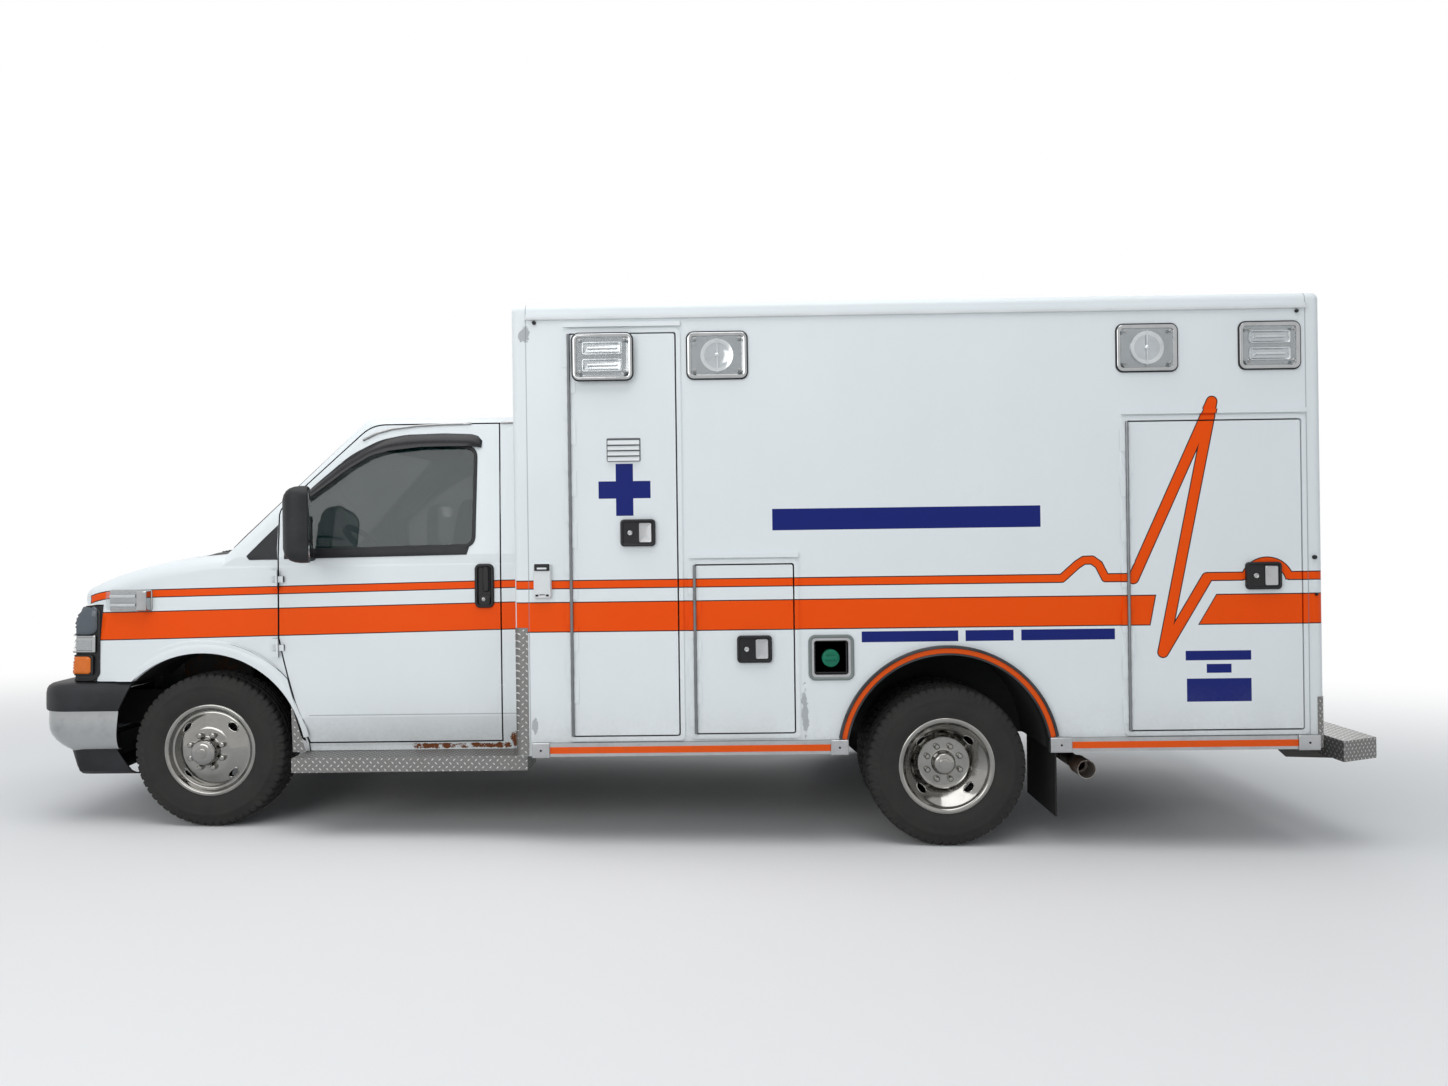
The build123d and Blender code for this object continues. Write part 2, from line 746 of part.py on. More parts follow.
cabinet_x = (-680, 800)
cabinet_inner_y = 690
bench_inner_y = 620
bench_top_z = 1180
upper_cabinet_z = (1500, 2380)

with BuildPart() as box_interior:
    # Left: a base cabinet over the wheel house and an upper cabinet above it
    block(cabinet_x, (-wall_inner, -cabinet_inner_y), (floor_top_z, 1300))
    block((-1150, 800), (-wall_inner, -cabinet_inner_y), upper_cabinet_z)
    # Right: the squad bench, padded on top
    block((-640, 800), (bench_inner_y, wall_inner), (floor_top_z, bench_top_z))
    for side, x0, x1, z0, z1, locker in side_doors.values():
        if locker:
            y = sorted((side * wall_inner, side * (wall_inner - locker_depth)))
            block((x0 - locker_wall, x1 + locker_wall), y, (z0 - locker_wall, z1 + locker_wall))
    for side, x0, x1, z0, z1, locker in side_doors.values():
        if locker:
            y = sorted((side * far, side * (wall_inner - locker_depth + locker_wall)))
            block((x0, x1), y, (z0, z1), mode=Mode.SUBTRACT)
    # The wheel houses carry the cabinet and the bench, and hang through the floor to the skirt
    hollow = arch_cylinder(
        wheel_house_radius - wheel_house_wall, wheel_house_inner + wheel_house_wall, 2000, 0, rear_arch_z
    )
    for flip in (False, True):
        add(mirror(wheel_house, about=Plane.XZ) if flip else wheel_house)
        add(mirror(hollow, about=Plane.XZ) if flip else hollow, mode=Mode.SUBTRACT)
    for y in both_sides((wheel_house_inner, wall_inner)):
        block((-wheel_house_radius - 1, wheel_house_radius + 1), y, (-far, skirt_z), mode=Mode.SUBTRACT)
    # Step well inside the entry door, hung under the floor
    well_x = (well_front - well_wall, well_rear + well_wall)
    well_bottom_z = well_z - well_drop
    block(well_x, (well_y[0] - well_wall, well_y[1]), (well_bottom_z - well_wall, floor_bottom_z))
    block((well_front, well_rear), well_y, (well_bottom_z, floor_bottom_z), mode=Mode.SUBTRACT)

# Box doors, each with a raised latch housing and its half of a full-height hinge
latch_size = (158, 122)
latch_proud = 12
latch_places = {
    "front_locker_door": (-1413, 1434),
    "middle_locker_door": (-884, 893),
    "rear_locker_door": (1441, 1201),
    "entry_door": (-1110, 1201),
    "right_locker_door": (1441, 893),
}
vent_x = (-1547, -1403)
vent_z = (1767, 1867)
vent_slats = 4
strobe_x = (-1704, -1424)
strobe_z = (2135, 2350)
lamp_bezel = 12
lamp_lens = 13
lamp_rim = 22
side_lamps = [
    # side, centre x, centre z
    (-1, -1039, 2246),
    (-1, 928, 2250),
    (-1, 1486, 2253),
    (1, -1564, 2246),
    (1, -1039, 2246),
    (1, 928, 2250),
    (1, 1486, 2253),
]
lamp_size = (276, 215)


def lamp(plane, size):
    """A warning lamp: a bezel plate with a smaller raised lens."""
    rim = lamp_rim * min(size) / lamp_size[1]
    with BuildPart() as made:
        with BuildSketch(plane):
            RectangleRounded(size[0], size[1], rim)
        extrude(amount=lamp_bezel)
        with BuildSketch(plane.offset(lamp_bezel)):
            RectangleRounded(size[0] - 2 * rim, size[1] - 2 * rim, rim * 0.7)
        extrude(amount=lamp_lens)
    return made.part


box_doors = {}
for name, (side, x0, x1, z0, z1, _) in side_doors.items():
    x = (x0 + door_gap, x1 - door_gap)
    z = (z0 + door_gap, z1 - door_gap)
    latch_x, latch_z = latch_places[name]
    hinge_z = (z[0] + 30, z[1] - 30)
    hinge_axis = (x0 + door_gap / 2, side * (box_half_width + frame_proud + hinge_out))
    jamb_half, door_half = hinge_halves(hinge_axis, hinge_z, (1, 0), (0, -side), hinge_out)
    with BuildPart() as door:
        add(wall_solid(side, x, z, door_corner - 4, box_door_thickness, frame_proud))
        latch_half = (latch_size[0] / 2, latch_size[1] / 2)
        add(
            wall_solid(
                side,
                (latch_x - latch_half[0], latch_x + latch_half[0]),
                (latch_z - latch_half[1], latch_z + latch_half[1]),
                16,
                0,
                frame_proud + latch_proud,
            )
        )
        add(door_half)
        if name == "front_locker_door":
            pitch = (vent_z[1] - vent_z[0]) / vent_slats
            for k in range(vent_slats):
                low = vent_z[0] + k * pitch
                add(wall_solid(side, vent_x, (low, low + pitch - 8), 4, 0, frame_proud + 8))
            strobe_plane = Plane(
                origin=(sum(strobe_x) / 2, -box_half_width - frame_proud, sum(strobe_z) / 2),
                x_dir=(1, 0, 0),
                z_dir=(0, -1, 0),
            )
            add(lamp(strobe_plane, lamp_size))
        if name == "entry_door":
            add(wall_solid(side, *entry_window, 40, box_wall, frame_proud), mode=Mode.SUBTRACT)
    box_doors[name] = door
    wall = box_left_side if side < 0 else box_right_side
    wall.part += jamb_half

glass_inset = 12
with BuildPart() as entry_glass:
    add(wall_solid(1, *entry_window, 40, glass_inset + glass_thickness))
    add(wall_solid(1, *entry_window, 40, glass_inset), mode=Mode.SUBTRACT)

# Rear doors: two halves hinged at the outer edges, each with a window
with BuildPart() as rear_door_left:
    inner_y = rear_door_gap / 2
    outer_y = rear_door_half_width - door_gap
    z0, z1 = rear_door_z
    back = Plane.YZ.offset(box_rear_x)
    with BuildSketch(back):
        outline((-outer_y, -inner_y), (z0 + door_gap, z1 - door_gap), 8)
        outline((-rear_window[0][1], -rear_window[0][0]), rear_window[1], 40)
    extrude(amount=-box_door_thickness)
    with BuildSketch(back) as cut:
        outline((-rear_window[0][1], -rear_window[0][0]), rear_window[1], 40)
    extrude(amount=-box_wall, mode=Mode.SUBTRACT)
    with BuildSketch(back):
        outline((-110, -30), (1080, 1330), 16)
    extrude(amount=latch_proud)
    rear_axis = (box_rear_x + hinge_out, -rear_door_half_width + door_gap / 2)
    rear_hinge_z = (z0 + 60, z1 - 60)
    rear_jamb_half, rear_door_half = hinge_halves(rear_axis, rear_hinge_z, (0, 1), (-1, 0), hinge_out)
    add(rear_door_half)

with BuildPart() as rear_glass_left:
    with BuildSketch(Plane.YZ.offset(box_rear_x - glass_inset)):
        outline((-rear_window[0][1], -rear_window[0][0]), rear_window[1], 40)
    extrude(amount=-glass_thickness)

with BuildPart() as rear_door_right:
    mirror(rear_door_left.part, about=Plane.XZ)

with BuildPart() as rear_glass_right:
    mirror(rear_glass_left.part, about=Plane.XZ)

box_end_walls.part += rear_jamb_half
box_end_walls.part += mirror(rear_jamb_half, about=Plane.XZ)

# Cab door and hood hinges: short barrels outside the panels
cab_hinge_x = cab_door_front_x - door_gap / 2
cab_hinge_y = -(cab_crease_width + hinge_out)
cab_hinge_spans = ((860, 950), (1190, 1280))

for span in cab_hinge_spans:
    jamb_half, door_half = hinge_halves((cab_hinge_x, cab_hinge_y), span, (1, 0), (0, 1), 60)
    cab_door_left.part += door_half - cab_outer
    front_fenders.part += jamb_half - cab_outer
    cab_door_right.part += mirror(door_half - cab_outer, about=Plane.XZ)
    front_fenders.part += mirror(jamb_half - cab_outer, about=Plane.XZ)

# Hood hinges: three barrels each, just above the seam at the cowl
for y0, y1 in both_sides(hood_hinge_y):
    third = (y1 - y0) / 3
    for k, along in enumerate((1, -1, 1)):
        with BuildPart() as knuckle:
            with BuildSketch(Plane.XZ.offset(-y0 - k * third - hinge_end_gap / 2)):
                pin_x = cowl_x - hood_gap / 2
                near = hood_pin_z - hinge_out + hinge_leaf_thickness
                leaf_x = pin_x + along * hinge_leaf
                with Locations((pin_x, hood_pin_z)):
                    Circle(hinge_radius)
                with BuildLine():
                    Polyline(
                        (pin_x, near),
                        (leaf_x, near),
                        (leaf_x, near - hood_hinge_depth),
                        (pin_x + along * hood_gap, near - hood_hinge_depth),
                        (pin_x + along * hood_gap, near - 4),
                        (pin_x, near - 4),
                        close=True,
                    )
                make_face()
            extrude(amount=-third + hinge_end_gap)
        owner = cab_shell if along > 0 else hood
        owner.part += knuckle.part - cab_outer

# Fittings on the box: warning lamps, tail lamps, fuel filler and power inlet
rear_lamps = [
    # distance from the middle, height, width, height of the lamp
    (1040, 2253, 215, 215),
    (400, 2402, 200, 50),
    (1040, 1990, 200, 110),
    (1060, 1180, 150, 110),
    (1060, 1050, 150, 110),
    (1060, 920, 150, 110),
]
front_lamp_z = 2342
front_lamp_y = (0, 400, 800)
front_lamp_size = (240, 90)

with BuildPart() as body_lamps:
    for side, x, z in side_lamps:
        plane = Plane(
            origin=(x, side * box_half_width, z),
            x_dir=(1, 0, 0) if side < 0 else (-1, 0, 0),
            z_dir=(0, side, 0),
        )
        add(lamp(plane, lamp_size))
    for y, z, width, height in rear_lamps:
        for side in (-1, 1):
            plane = Plane(origin=(box_rear_x, side * y, z), x_dir=(0, 1, 0), z_dir=(1, 0, 0))
            add(lamp(plane, (width, height)))
    for y in front_lamp_y:
        for side in (-1, 1) if y else (1,):
            plane = Plane(origin=(box_front_x, side * y, front_lamp_z), x_dir=(0, -1, 0), z_dir=(-1, 0, 0))
            add(lamp(plane, front_lamp_size))

inlet_x = (-1894, -1818)
inlet_z = (1141, 1297)
fuel_cap = (-533, 845, 39)

with BuildPart() as side_inlets:
    bowl = (fuel_x[0] + fuel_wall, fuel_x[1] - fuel_wall)
    bowl_z = (fuel_z[0] + fuel_wall, fuel_z[1] - fuel_wall)
    add(wall_solid(-1, fuel_x, fuel_z, 20, fuel_depth))
    add(wall_solid(-1, (fuel_x[0] - 12, fuel_x[1] + 12), (fuel_z[0] - 12, fuel_z[1] + 12), 28, 0, 4))
    add(wall_solid(-1, bowl, bowl_z, 14, fuel_depth - 6, 10), mode=Mode.SUBTRACT)
    with BuildSketch(wall_plane(-1, -fuel_depth)):
        with Locations(fuel_cap[:2]):
            Circle(fuel_cap[2])
    extrude(amount=30)
    add(wall_solid(-1, inlet_x, inlet_z, 10, 0, 22))

# Rails, guards and treads along the bottom
rub_spans = [
    # front x, rear x, and length of the cap at each end
    (-1911, -460, 81),
    (460, 1682, 98),
]
rub_z = (410, 472)
rub_reach = 24

with BuildPart() as rub_rails:
    for x0, x1, cap in rub_spans:
        block((x0, x1), (-box_half_width - rub_reach, -box_half_width), rub_z)
        for end in ((x0, x0 + cap), (x1 - cap, x1)):
            block(end, (-box_half_width - rub_reach - 5, -box_half_width), (rub_z[0] - 4, rub_z[1] + 2))
    mirror(about=Plane.XZ)

guard_thickness = 3
step_x = (-3122, -1949)
step_y = (945, 1150)
step_z = (333, 401)
step_plate = 6

with BuildPart() as tread_plates:
    front_guard = box_plan(guard_thickness, 412, 1002)
    rear_guard = box_plan(guard_thickness, 412, 644)
    core = box_plan(0, 0, 2000)
    trim = side_box((box_front_x + 62, far), (-far, far), (0, far))
    middle = side_box((-far, far), (-1090, 1090), (0, far))
    add(front_guard - core - trim - middle)
    rear_trim = side_box((-far, box_rear_x - 37), (-far, far), (0, far))
    add(rear_guard - core - rear_trim - middle)
    for y in both_sides(step_y):
        block(step_x, y, step_z)
    inside_x = (step_x[0] + step_plate, step_x[1] - step_plate)
    for y in both_sides((step_y[0] - 1, step_y[1] - step_plate)):
        block(inside_x, y, (0, step_z[1] - step_plate), mode=Mode.SUBTRACT)

flap_x = (500, 508)
with BuildPart() as mud_flaps:
    for y in both_sides((wheel_house_inner + 12, wall_inner)):
        block(flap_x, y, (95, floor_top_z - box_floor_thickness))

step_wall = 8

with BuildPart() as rear_step:
    for z, inset, mode in (
        ((step_bottom_z, step_top_z), 0, Mode.ADD),
        ((0, step_top_z - step_wall), step_wall, Mode.SUBTRACT),
    ):
        with BuildSketch(Plane.XY.offset(z[0])):
            with BuildLine():
                front, rear = step_front_x + inset, step_rear_x - inset
                wide, narrow = box_half_width - inset, step_rear_half_width - inset
                Polyline((front, -wide), (rear, -narrow), (rear, narrow), (front, wide), close=True)
            make_face()
        extrude(amount=z[1] - z[0], mode=mode)
    for y in both_sides((rail_outer - rail_width, rail_outer)):
        block((1480, step_front_x), y, (400, rail_bottom_z))

# Ladder frame
crossmembers = [
    # front x, rear x, bottom z, top z
    (-4150, -4090, 480, 560),
    (-3700, -3620, 420, 480),
    (-3060, -2980, 370, 430),
    (-1500, -1440, 540, 640),
    (260, 320, 560, 640),
    (1600, 1660, 500, 640),
]

with BuildPart() as frame_rails:
    for y in both_sides((rail_outer - rail_width, rail_outer)):
        block((-4400, rail_rear_x), y, (rail_bottom_z, rail_top_z))
    for y in both_sides((rail_outer - rail_width - 1, rail_outer - rail_web)):
        channel_z = (rail_bottom_z + rail_web, rail_top_z - rail_web)
        block((-4390, rail_rear_x), y, channel_z, mode=Mode.SUBTRACT)
    for x0, x1, z0, z1 in crossmembers:
        block((x0, x1), (-rail_outer + rail_web, rail_outer - rail_web), (z0, z1))
    for x in (-3700, -3060):
        for y in both_sides((rail_outer - rail_width, rail_outer - rail_web)):
            block((x, x + 80), y, (430, rail_bottom_z))
    add(front_bumper.part, mode=Mode.SUBTRACT)
    add(bumper_cover.part, mode=Mode.SUBTRACT)

# Power and fuel
tailpipe = [
    (-2980, -330, 425),
    (-2840, -330, 425),
    (-2620, -580, 432),
    (505, -580, 432),
    (646, -780, 312),
    (646, -1160, 312),
]
tailpipe_bends = [140, 140, 120, 90]
pipe_radius = 32
pipe_wall = 3
tip_radius = 43
tip_length = 130
muffler_x = (-2350, -1800)
muffler_radius = 95

with BuildPart() as engine_block:
    block((-4010, -3250), (-270, 270), (480, 1030))

with BuildPart() as radiator:
    block((-4140, -4090), (-340, 340), (560, 1090))

with BuildPart() as driveline:
    with BuildSketch(Plane.YZ.offset(-3250)):
        with Locations((0, 540)):
            RectangleRounded(340, 220, 60)
    with BuildSketch(Plane.YZ.offset(-2560)):
        with Locations((0, 520)):
            RectangleRounded(220, 180, 60)
    loft()
    shaft_front = Vector(-2560, 0, 520)
    shaft_rear = Vector(-154, 0, rear_axle_z + 20)
    with BuildSketch(Plane(origin=shaft_front, z_dir=shaft_rear - shaft_front)):
        Circle(42)
    extrude(amount=(shaft_rear - shaft_front).length)

with BuildPart() as exhaust:
    with BuildLine():
        path = FilletPolyline(*tailpipe, radius=tailpipe_bends)
    with BuildSketch(Plane(origin=path @ 0, z_dir=path % 0)):
        Circle(pipe_radius)
        Circle(pipe_radius - pipe_wall, mode=Mode.SUBTRACT)
    sweep(path=path.wire())
    tip_x, tip_y, tip_z = tailpipe[-1]
    with BuildSketch(Plane.XZ.offset(-tip_y - tip_length)):
        with Locations((tip_x, tip_z)):
            Circle(tip_radius)
            Circle(pipe_radius - pipe_wall, mode=Mode.SUBTRACT)
    extrude(amount=tip_length)
    with BuildSketch(Plane.XZ.offset(-tip_y - tip_length + 12)):
        with Locations((tip_x, tip_z)):
            Circle(tip_radius - pipe_wall)
    extrude(amount=tip_length, mode=Mode.SUBTRACT)
    with BuildSketch(Plane.YZ.offset(muffler_x[0])):
        with Locations((-590, 432)):
            Circle(muffler_radius)
            with Locations((10, 0)):
                Circle(pipe_radius - pipe_wall, mode=Mode.SUBTRACT)
    extrude(amount=muffler_x[1] - muffler_x[0])
    block((-2100, -2060), (-530, -rail_outer), (478, 500))

tank_x = (450, 1330)
tank_half_width = 370
tank_z = (345, 640)
strap_width = 40
with BuildPart() as fuel_tank:
    block(tank_x, (-tank_half_width, tank_half_width), tank_z)
    fillet(fuel_tank.edges().filter_by(Axis.X), 45)
    fillet(fuel_tank.faces().sort_by(Axis.X)[0].edges(), 20)
    fillet(fuel_tank.faces().sort_by(Axis.X)[-1].edges(), 20)
    for x in (620, 1120):
        strap_half = rail_outer - rail_width
        block((x, x + strap_width), (-strap_half, strap_half), (rail_top_z - rail_web, rail_top_z))

# Axles and springs
kingpin_radius = 18
eye_radius = 40
eye_half_height = 45
knuckle_lug = 24
lug_half_length = 40
steering_arm = 190
spindle_radius = 32
hub_radius = 110
axle_tube_radius = 55
diff_radius = 150
spring_y = (402, 478)
spring_half_length = 640
spring_seat_z = 615
beam_depth = 68

with BuildPart() as front_axle:
    with BuildSketch(Plane.YZ.offset(front_axle_x - 32)):
        with BuildLine():
            high, low = front_axle_z + 34, front_axle_z + 4
            top_edge = [(-kingpin_plane, high), (-620, high), (-540, low)]
            top_edge += [(-y, z) for y, z in reversed(top_edge)]
            bottom_edge = [(y, z - beam_depth) for y, z in reversed(top_edge)]
            Polyline(*top_edge, *bottom_edge, close=True)
        make_face()
    extrude(amount=64)
    for sign in (-1, 1):
        with Locations((front_axle_x, sign * kingpin_plane, front_axle_z)):
            Cylinder(eye_radius, 2 * eye_half_height)
        with Locations((front_axle_x, sign * 560, (front_axle_z + spring_seat_z) / 2)):
            Cylinder(58, spring_seat_z - front_axle_z)
        seat = sorted((sign * rail_outer, sign * 618))
        block((front_axle_x - 60, front_axle_x + 60), seat, (spring_seat_z, spring_seat_z + 20))
    for sign in (-1, 1):
        with Locations((front_axle_x, sign * kingpin_plane, front_axle_z)):
            Cylinder(kingpin_radius + running_clearance, 400, mode=Mode.SUBTRACT)

with BuildPart() as knuckle_left:
    lug_offset = eye_half_height + running_clearance
    lug_x = (front_axle_x - lug_half_length, front_axle_x + lug_half_length)
    for z in (front_axle_z + lug_offset, front_axle_z - lug_offset - knuckle_lug):
        block(lug_x, (-kingpin_plane - 70, -kingpin_plane + 35), (z, z + knuckle_lug))
    block(
        lug_x,
        (-kingpin_plane - 70, -kingpin_plane - eye_radius - 6),
        (front_axle_z - eye_half_height - 1, front_axle_z + eye_half_height + 1),
    )
    with Locations((front_axle_x, -kingpin_plane, front_axle_z)):
        Cylinder(kingpin_radius, 2 * (eye_half_height + 1))
    with BuildSketch(Plane.XZ.offset(kingpin_plane + 70)):
        with Locations((front_axle_x, front_axle_z)):
            Circle(spindle_radius)
    extrude(amount=100)
    arm_x = (front_axle_x, front_axle_x + steering_arm)
    arm_top = front_axle_z - lug_offset
    block(arm_x, (-kingpin_plane + 25, -kingpin_plane + 65), (arm_top - knuckle_lug, arm_top))

with BuildPart() as knuckle_right:
    mirror(knuckle_left.part, about=Plane.XZ)

with BuildPart() as rear_axle:
    for y0, y1, radius in ((-660, 660, axle_tube_radius), (-1020, 1020, 38)):
        with BuildSketch(Plane.XZ.offset(y0)):
            with Locations((rear_axle_x, rear_axle_z)):
                Circle(radius)
        extrude(amount=y1 - y0)
    with BuildSketch(Plane.YZ.offset(rear_axle_x - 150)):
        with Locations((0, rear_axle_z + 20)):
            Circle(60)
    with BuildSketch(Plane.YZ.offset(rear_axle_x)):
        with Locations((0, rear_axle_z)):
            Circle(diff_radius)
    with BuildSketch(Plane.YZ.offset(rear_axle_x + 130)):
        with Locations((0, rear_axle_z)):
            Circle(90)
    loft(ruled=True)
    for y in both_sides(spring_y):
        middle = sum(y) / 2
        with BuildSketch(Plane.XZ.offset(-y[0])):
            with BuildLine():
                top = ThreePointArc((-spring_half_length, 466), (0, 430), (spring_half_length, 466))
                bottom = ThreePointArc((spring_half_length, 438), (0, 398), (-spring_half_length, 438))
                Line(top @ 1, bottom @ 0)
                Line(bottom @ 1, top @ 0)
            make_face()
        extrude(amount=y[0] - y[1])
        block((-40, 40), y, (rear_axle_z + 40, 410))
        for x in (-spring_half_length, spring_half_length - 40):
            block((x, x + 40), y, (440, rail_bottom_z))


# Wheels: every ring is turned about the axle line from a section of radius and distance outwards
bead_half_width = 87
lip_inner = 196
lug_circle = 82.5
lug_count = 8
hand_hole_circle = 158
hand_hole_count = 4
rear_outer_plane = rear_wheel_plane + dual_spacing / 2
rear_inner_plane = rear_wheel_plane - dual_spacing / 2
front_centre = (front_axle_x, front_axle_z)
rear_centre = (rear_axle_x, rear_axle_z)


def turned(section, centre):
    """The solid that a closed left-hand section makes about the axle line."""
    with BuildPart() as solid:
        add(section)
        revolve(axis=Axis((centre[0], 0, centre[1]), (0, 1, 0)))
    return solid.part


def axle_plane(centre, plane_y):
    """A plane for half sections: its x is the radius, its y runs outwards to the left."""
    return Plane(origin=(centre[0], -plane_y, centre[1]), x_dir=(0, 0, 1), z_dir=(1, 0, 0))


def tyre(centre, plane_y):
    """A plain tyre with rounded sidewalls, shoulders and a slightly crowned tread."""
    with BuildSketch(axle_plane(centre, plane_y)) as section:
        with BuildLine():
            edge = tyre_width / 2
            shoulder = (tyre_radius - 22, edge - 12)
            rim = (rim_radius + 23, bead_half_width - 1)
            for sign in (-1, 1):
                Line((rim_radius + 1, 0), (rim_radius + 1, sign * rim[1]))
                Line((rim_radius + 1, sign * rim[1]), (rim[0], sign * rim[1]))
                ThreePointArc((rim[0], sign * rim[1]), (290, sign * edge), (shoulder[0], sign * shoulder[1]))
                ThreePointArc(
                    (shoulder[0], sign * shoulder[1]),
                    (tyre_radius - 8, sign * (edge - 20)),
                    (tyre_radius - 3, sign * (edge - 36)),
                )
            ThreePointArc((tyre_radius - 3, edge - 36), (tyre_radius, 0), (tyre_radius - 3, 36 - edge))
        make_face()
    return turned(section.sketch, centre)


def wheel_ring(centre, plane_y, inner_side, outer_side):
    """A wheel: the rim barrel with two lips, closed by a disc between two lists of points."""
    seat = rim_radius + 1
    lip = [(rim_lip_radius, rim_half_width), (rim_lip_radius, bead_half_width), (seat, bead_half_width)]
    back = [(r, -y) for r, y in reversed(lip)] + [(lip_inner, -rim_half_width)]
    with BuildSketch(axle_plane(centre, plane_y)) as section:
        with BuildLine():
            Polyline(*lip, *back, *inner_side, *outer_side, close=True)
        make_face()
    return turned(section.sketch, centre)


def wheel_cuts(centre, plane_y, depth):
    """Oval hand holes round a wheel, as cutters."""
    with BuildPart() as cutters:
        with BuildSketch(Plane.XZ.offset(plane_y - depth)):
            with Locations(centre):
                with PolarLocations(hand_hole_circle, hand_hole_count, start_angle=45):
                    Ellipse(16, 30)
        extrude(amount=2 * depth)
    return cutters.part


def lug_covers(centre, start_y, end_y):
    """Nut covers on the lug circle."""
    with BuildPart() as covers:
        with BuildSketch(Plane.XZ.offset(start_y)):
            with Locations(centre):
                with PolarLocations(lug_circle, lug_count, start_angle=22.5):
                    Circle(14)
        extrude(amount=end_y - start_y, taper=8)
    return covers.part


lip_bead = [(199, 84), (207, 93), (214, 95)]
spindle_bore = spindle_radius + running_clearance
rear_bore = 38 + running_clearance

with BuildPart() as tyre_front_left:
    add(tyre(front_centre, front_wheel_plane))

with BuildPart() as wheel_front_left:
    bore = [(60, -15), (spindle_bore, -15), (spindle_bore, 80), (0, 80)]
    inner = [(lip_inner, 22), (165, 50), (118, 64), (60, 64), *bore]
    hub_dome = [(0, 180), (38, 178), (56, 168), (62, 150), (62, 112)]
    outer = [*hub_dome, (108, 112), (124, 104), (152, 88), (188, 66), *lip_bead]
    add(wheel_ring(front_centre, front_wheel_plane, inner, outer))
    add(wheel_cuts(front_centre, front_wheel_plane + 75, 60), mode=Mode.SUBTRACT)
    add(lug_covers(front_centre, front_wheel_plane + 111, front_wheel_plane + 138))

with BuildPart() as tyres_rear_left:
    add(tyre(rear_centre, rear_outer_plane))
    add(tyre(rear_centre, rear_inner_plane))

with BuildPart() as wheels_rear_left:
    bore = [(hub_radius, -180), (rear_bore, -180), (rear_bore, -45), (0, -45)]
    inner = [(lip_inner, 62), (150, 12), (118, -20), (hub_radius, -25), *bore]
    outer = [(0, 46), (40, 44), (51, 34), (51, 0), (112, 0), (126, 10), (160, 44), (190, 74), *lip_bead]
    add(wheel_ring(rear_centre, rear_outer_plane, inner, outer))
    inner = [(lip_inner, 40), (150, 96), (hub_radius, 112)]
    outer = [(hub_radius, 124), (156, 108), (188, 66), *lip_bead]
    add(wheel_ring(rear_centre, rear_inner_plane, inner, outer))
    add(wheel_cuts(rear_centre, rear_outer_plane + 40, 60), mode=Mode.SUBTRACT)
    add(lug_covers(rear_centre, rear_outer_plane - 1, rear_outer_plane + 24))

mirrored = {}
for name, piece in (
    ("tyre_front_right", tyre_front_left),
    ("wheel_front_right", wheel_front_left),
    ("tyres_rear_right", tyres_rear_left),
    ("wheels_rear_right", wheels_rear_left),
):
    with BuildPart() as other_side:
        mirror(piece.part, about=Plane.XZ)
    mirrored[name] = other_side

# Every piece by its name
pieces = {
    "cab_shell": cab_shell,
    "front_fenders": front_fenders,
    "hood": hood,
    "grille": grille,
    "headlamps": headlamps,
    "front_bumper": front_bumper,
    "bumper_cover": bumper_cover,
    "windshield": windshield,
    "cab_door_left": cab_door_left,
    "cab_door_right": cab_door_right,
    "door_glass_left": door_glass_left,
    "door_glass_right": door_glass_right,
    "mirror_left": mirror_left,
    "mirror_right": mirror_right,
    "dashboard": dashboard,
    "cab_seats": cab_seats,
    "box_left_side": box_left_side,
    "box_right_side": box_right_side,
    "box_end_walls": box_end_walls,
    "box_roof": box_roof,
    "box_floor": box_floor,
    "box_interior": box_interior,
    **box_doors,
    "entry_glass": entry_glass,
    "rear_door_left": rear_door_left,
    "rear_door_right": rear_door_right,
    "rear_glass_left": rear_glass_left,
    "rear_glass_right": rear_glass_right,
    "body_lamps": body_lamps,
    "side_inlets": side_inlets,
    "rub_rails": rub_rails,
    "tread_plates": tread_plates,
    "mud_flaps": mud_flaps,
    "rear_step": rear_step,
    "frame_rails": frame_rails,
    "engine_block": engine_block,
    "radiator": radiator,
    "driveline": driveline,
    "exhaust": exhaust,
    "fuel_tank": fuel_tank,
    "front_axle": front_axle,
    "rear_axle": rear_axle,
    "knuckle_left": knuckle_left,
    "knuckle_right": knuckle_right,
    "tyre_front_left": tyre_front_left,
    "wheel_front_left": wheel_front_left,
    "tyres_rear_left": tyres_rear_left,
    "wheels_rear_left": wheels_rear_left,
    **mirrored,
}

# Stand the level body on its wheels: turn it nose down by the rake about the middle of the
# wheelbase at axle height, then move it so that the origin is under the middle of its length.
pivot = (mid_x, 0, tyre_radius)
stance = Location(pivot) * Location((0, 0, 0), (0, -rake, 0)) * Location(tuple(-v for v in pivot))
for piece in pieces.values():
    piece.part.locate(stance * piece.part.location)
spans = [piece.part.bounding_box() for piece in pieces.values()]
middle_x = (min(span.min.X for span in spans) + max(span.max.X for span in spans)) / 2

os.makedirs("parts", exist_ok=True)
for name, piece in pieces.items():
    piece.part.locate(Location((-middle_x, 0, 0)) * piece.part.location)
    piece.part.label = name
    export_step(piece.part, f"parts/{name}.step")
print("origin", round(-middle_x, 3))
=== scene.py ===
import math

import bmesh
import bpy
import numpy as np
from mathutils import Matrix, Vector
from mathutils.bvhtree import BVHTree


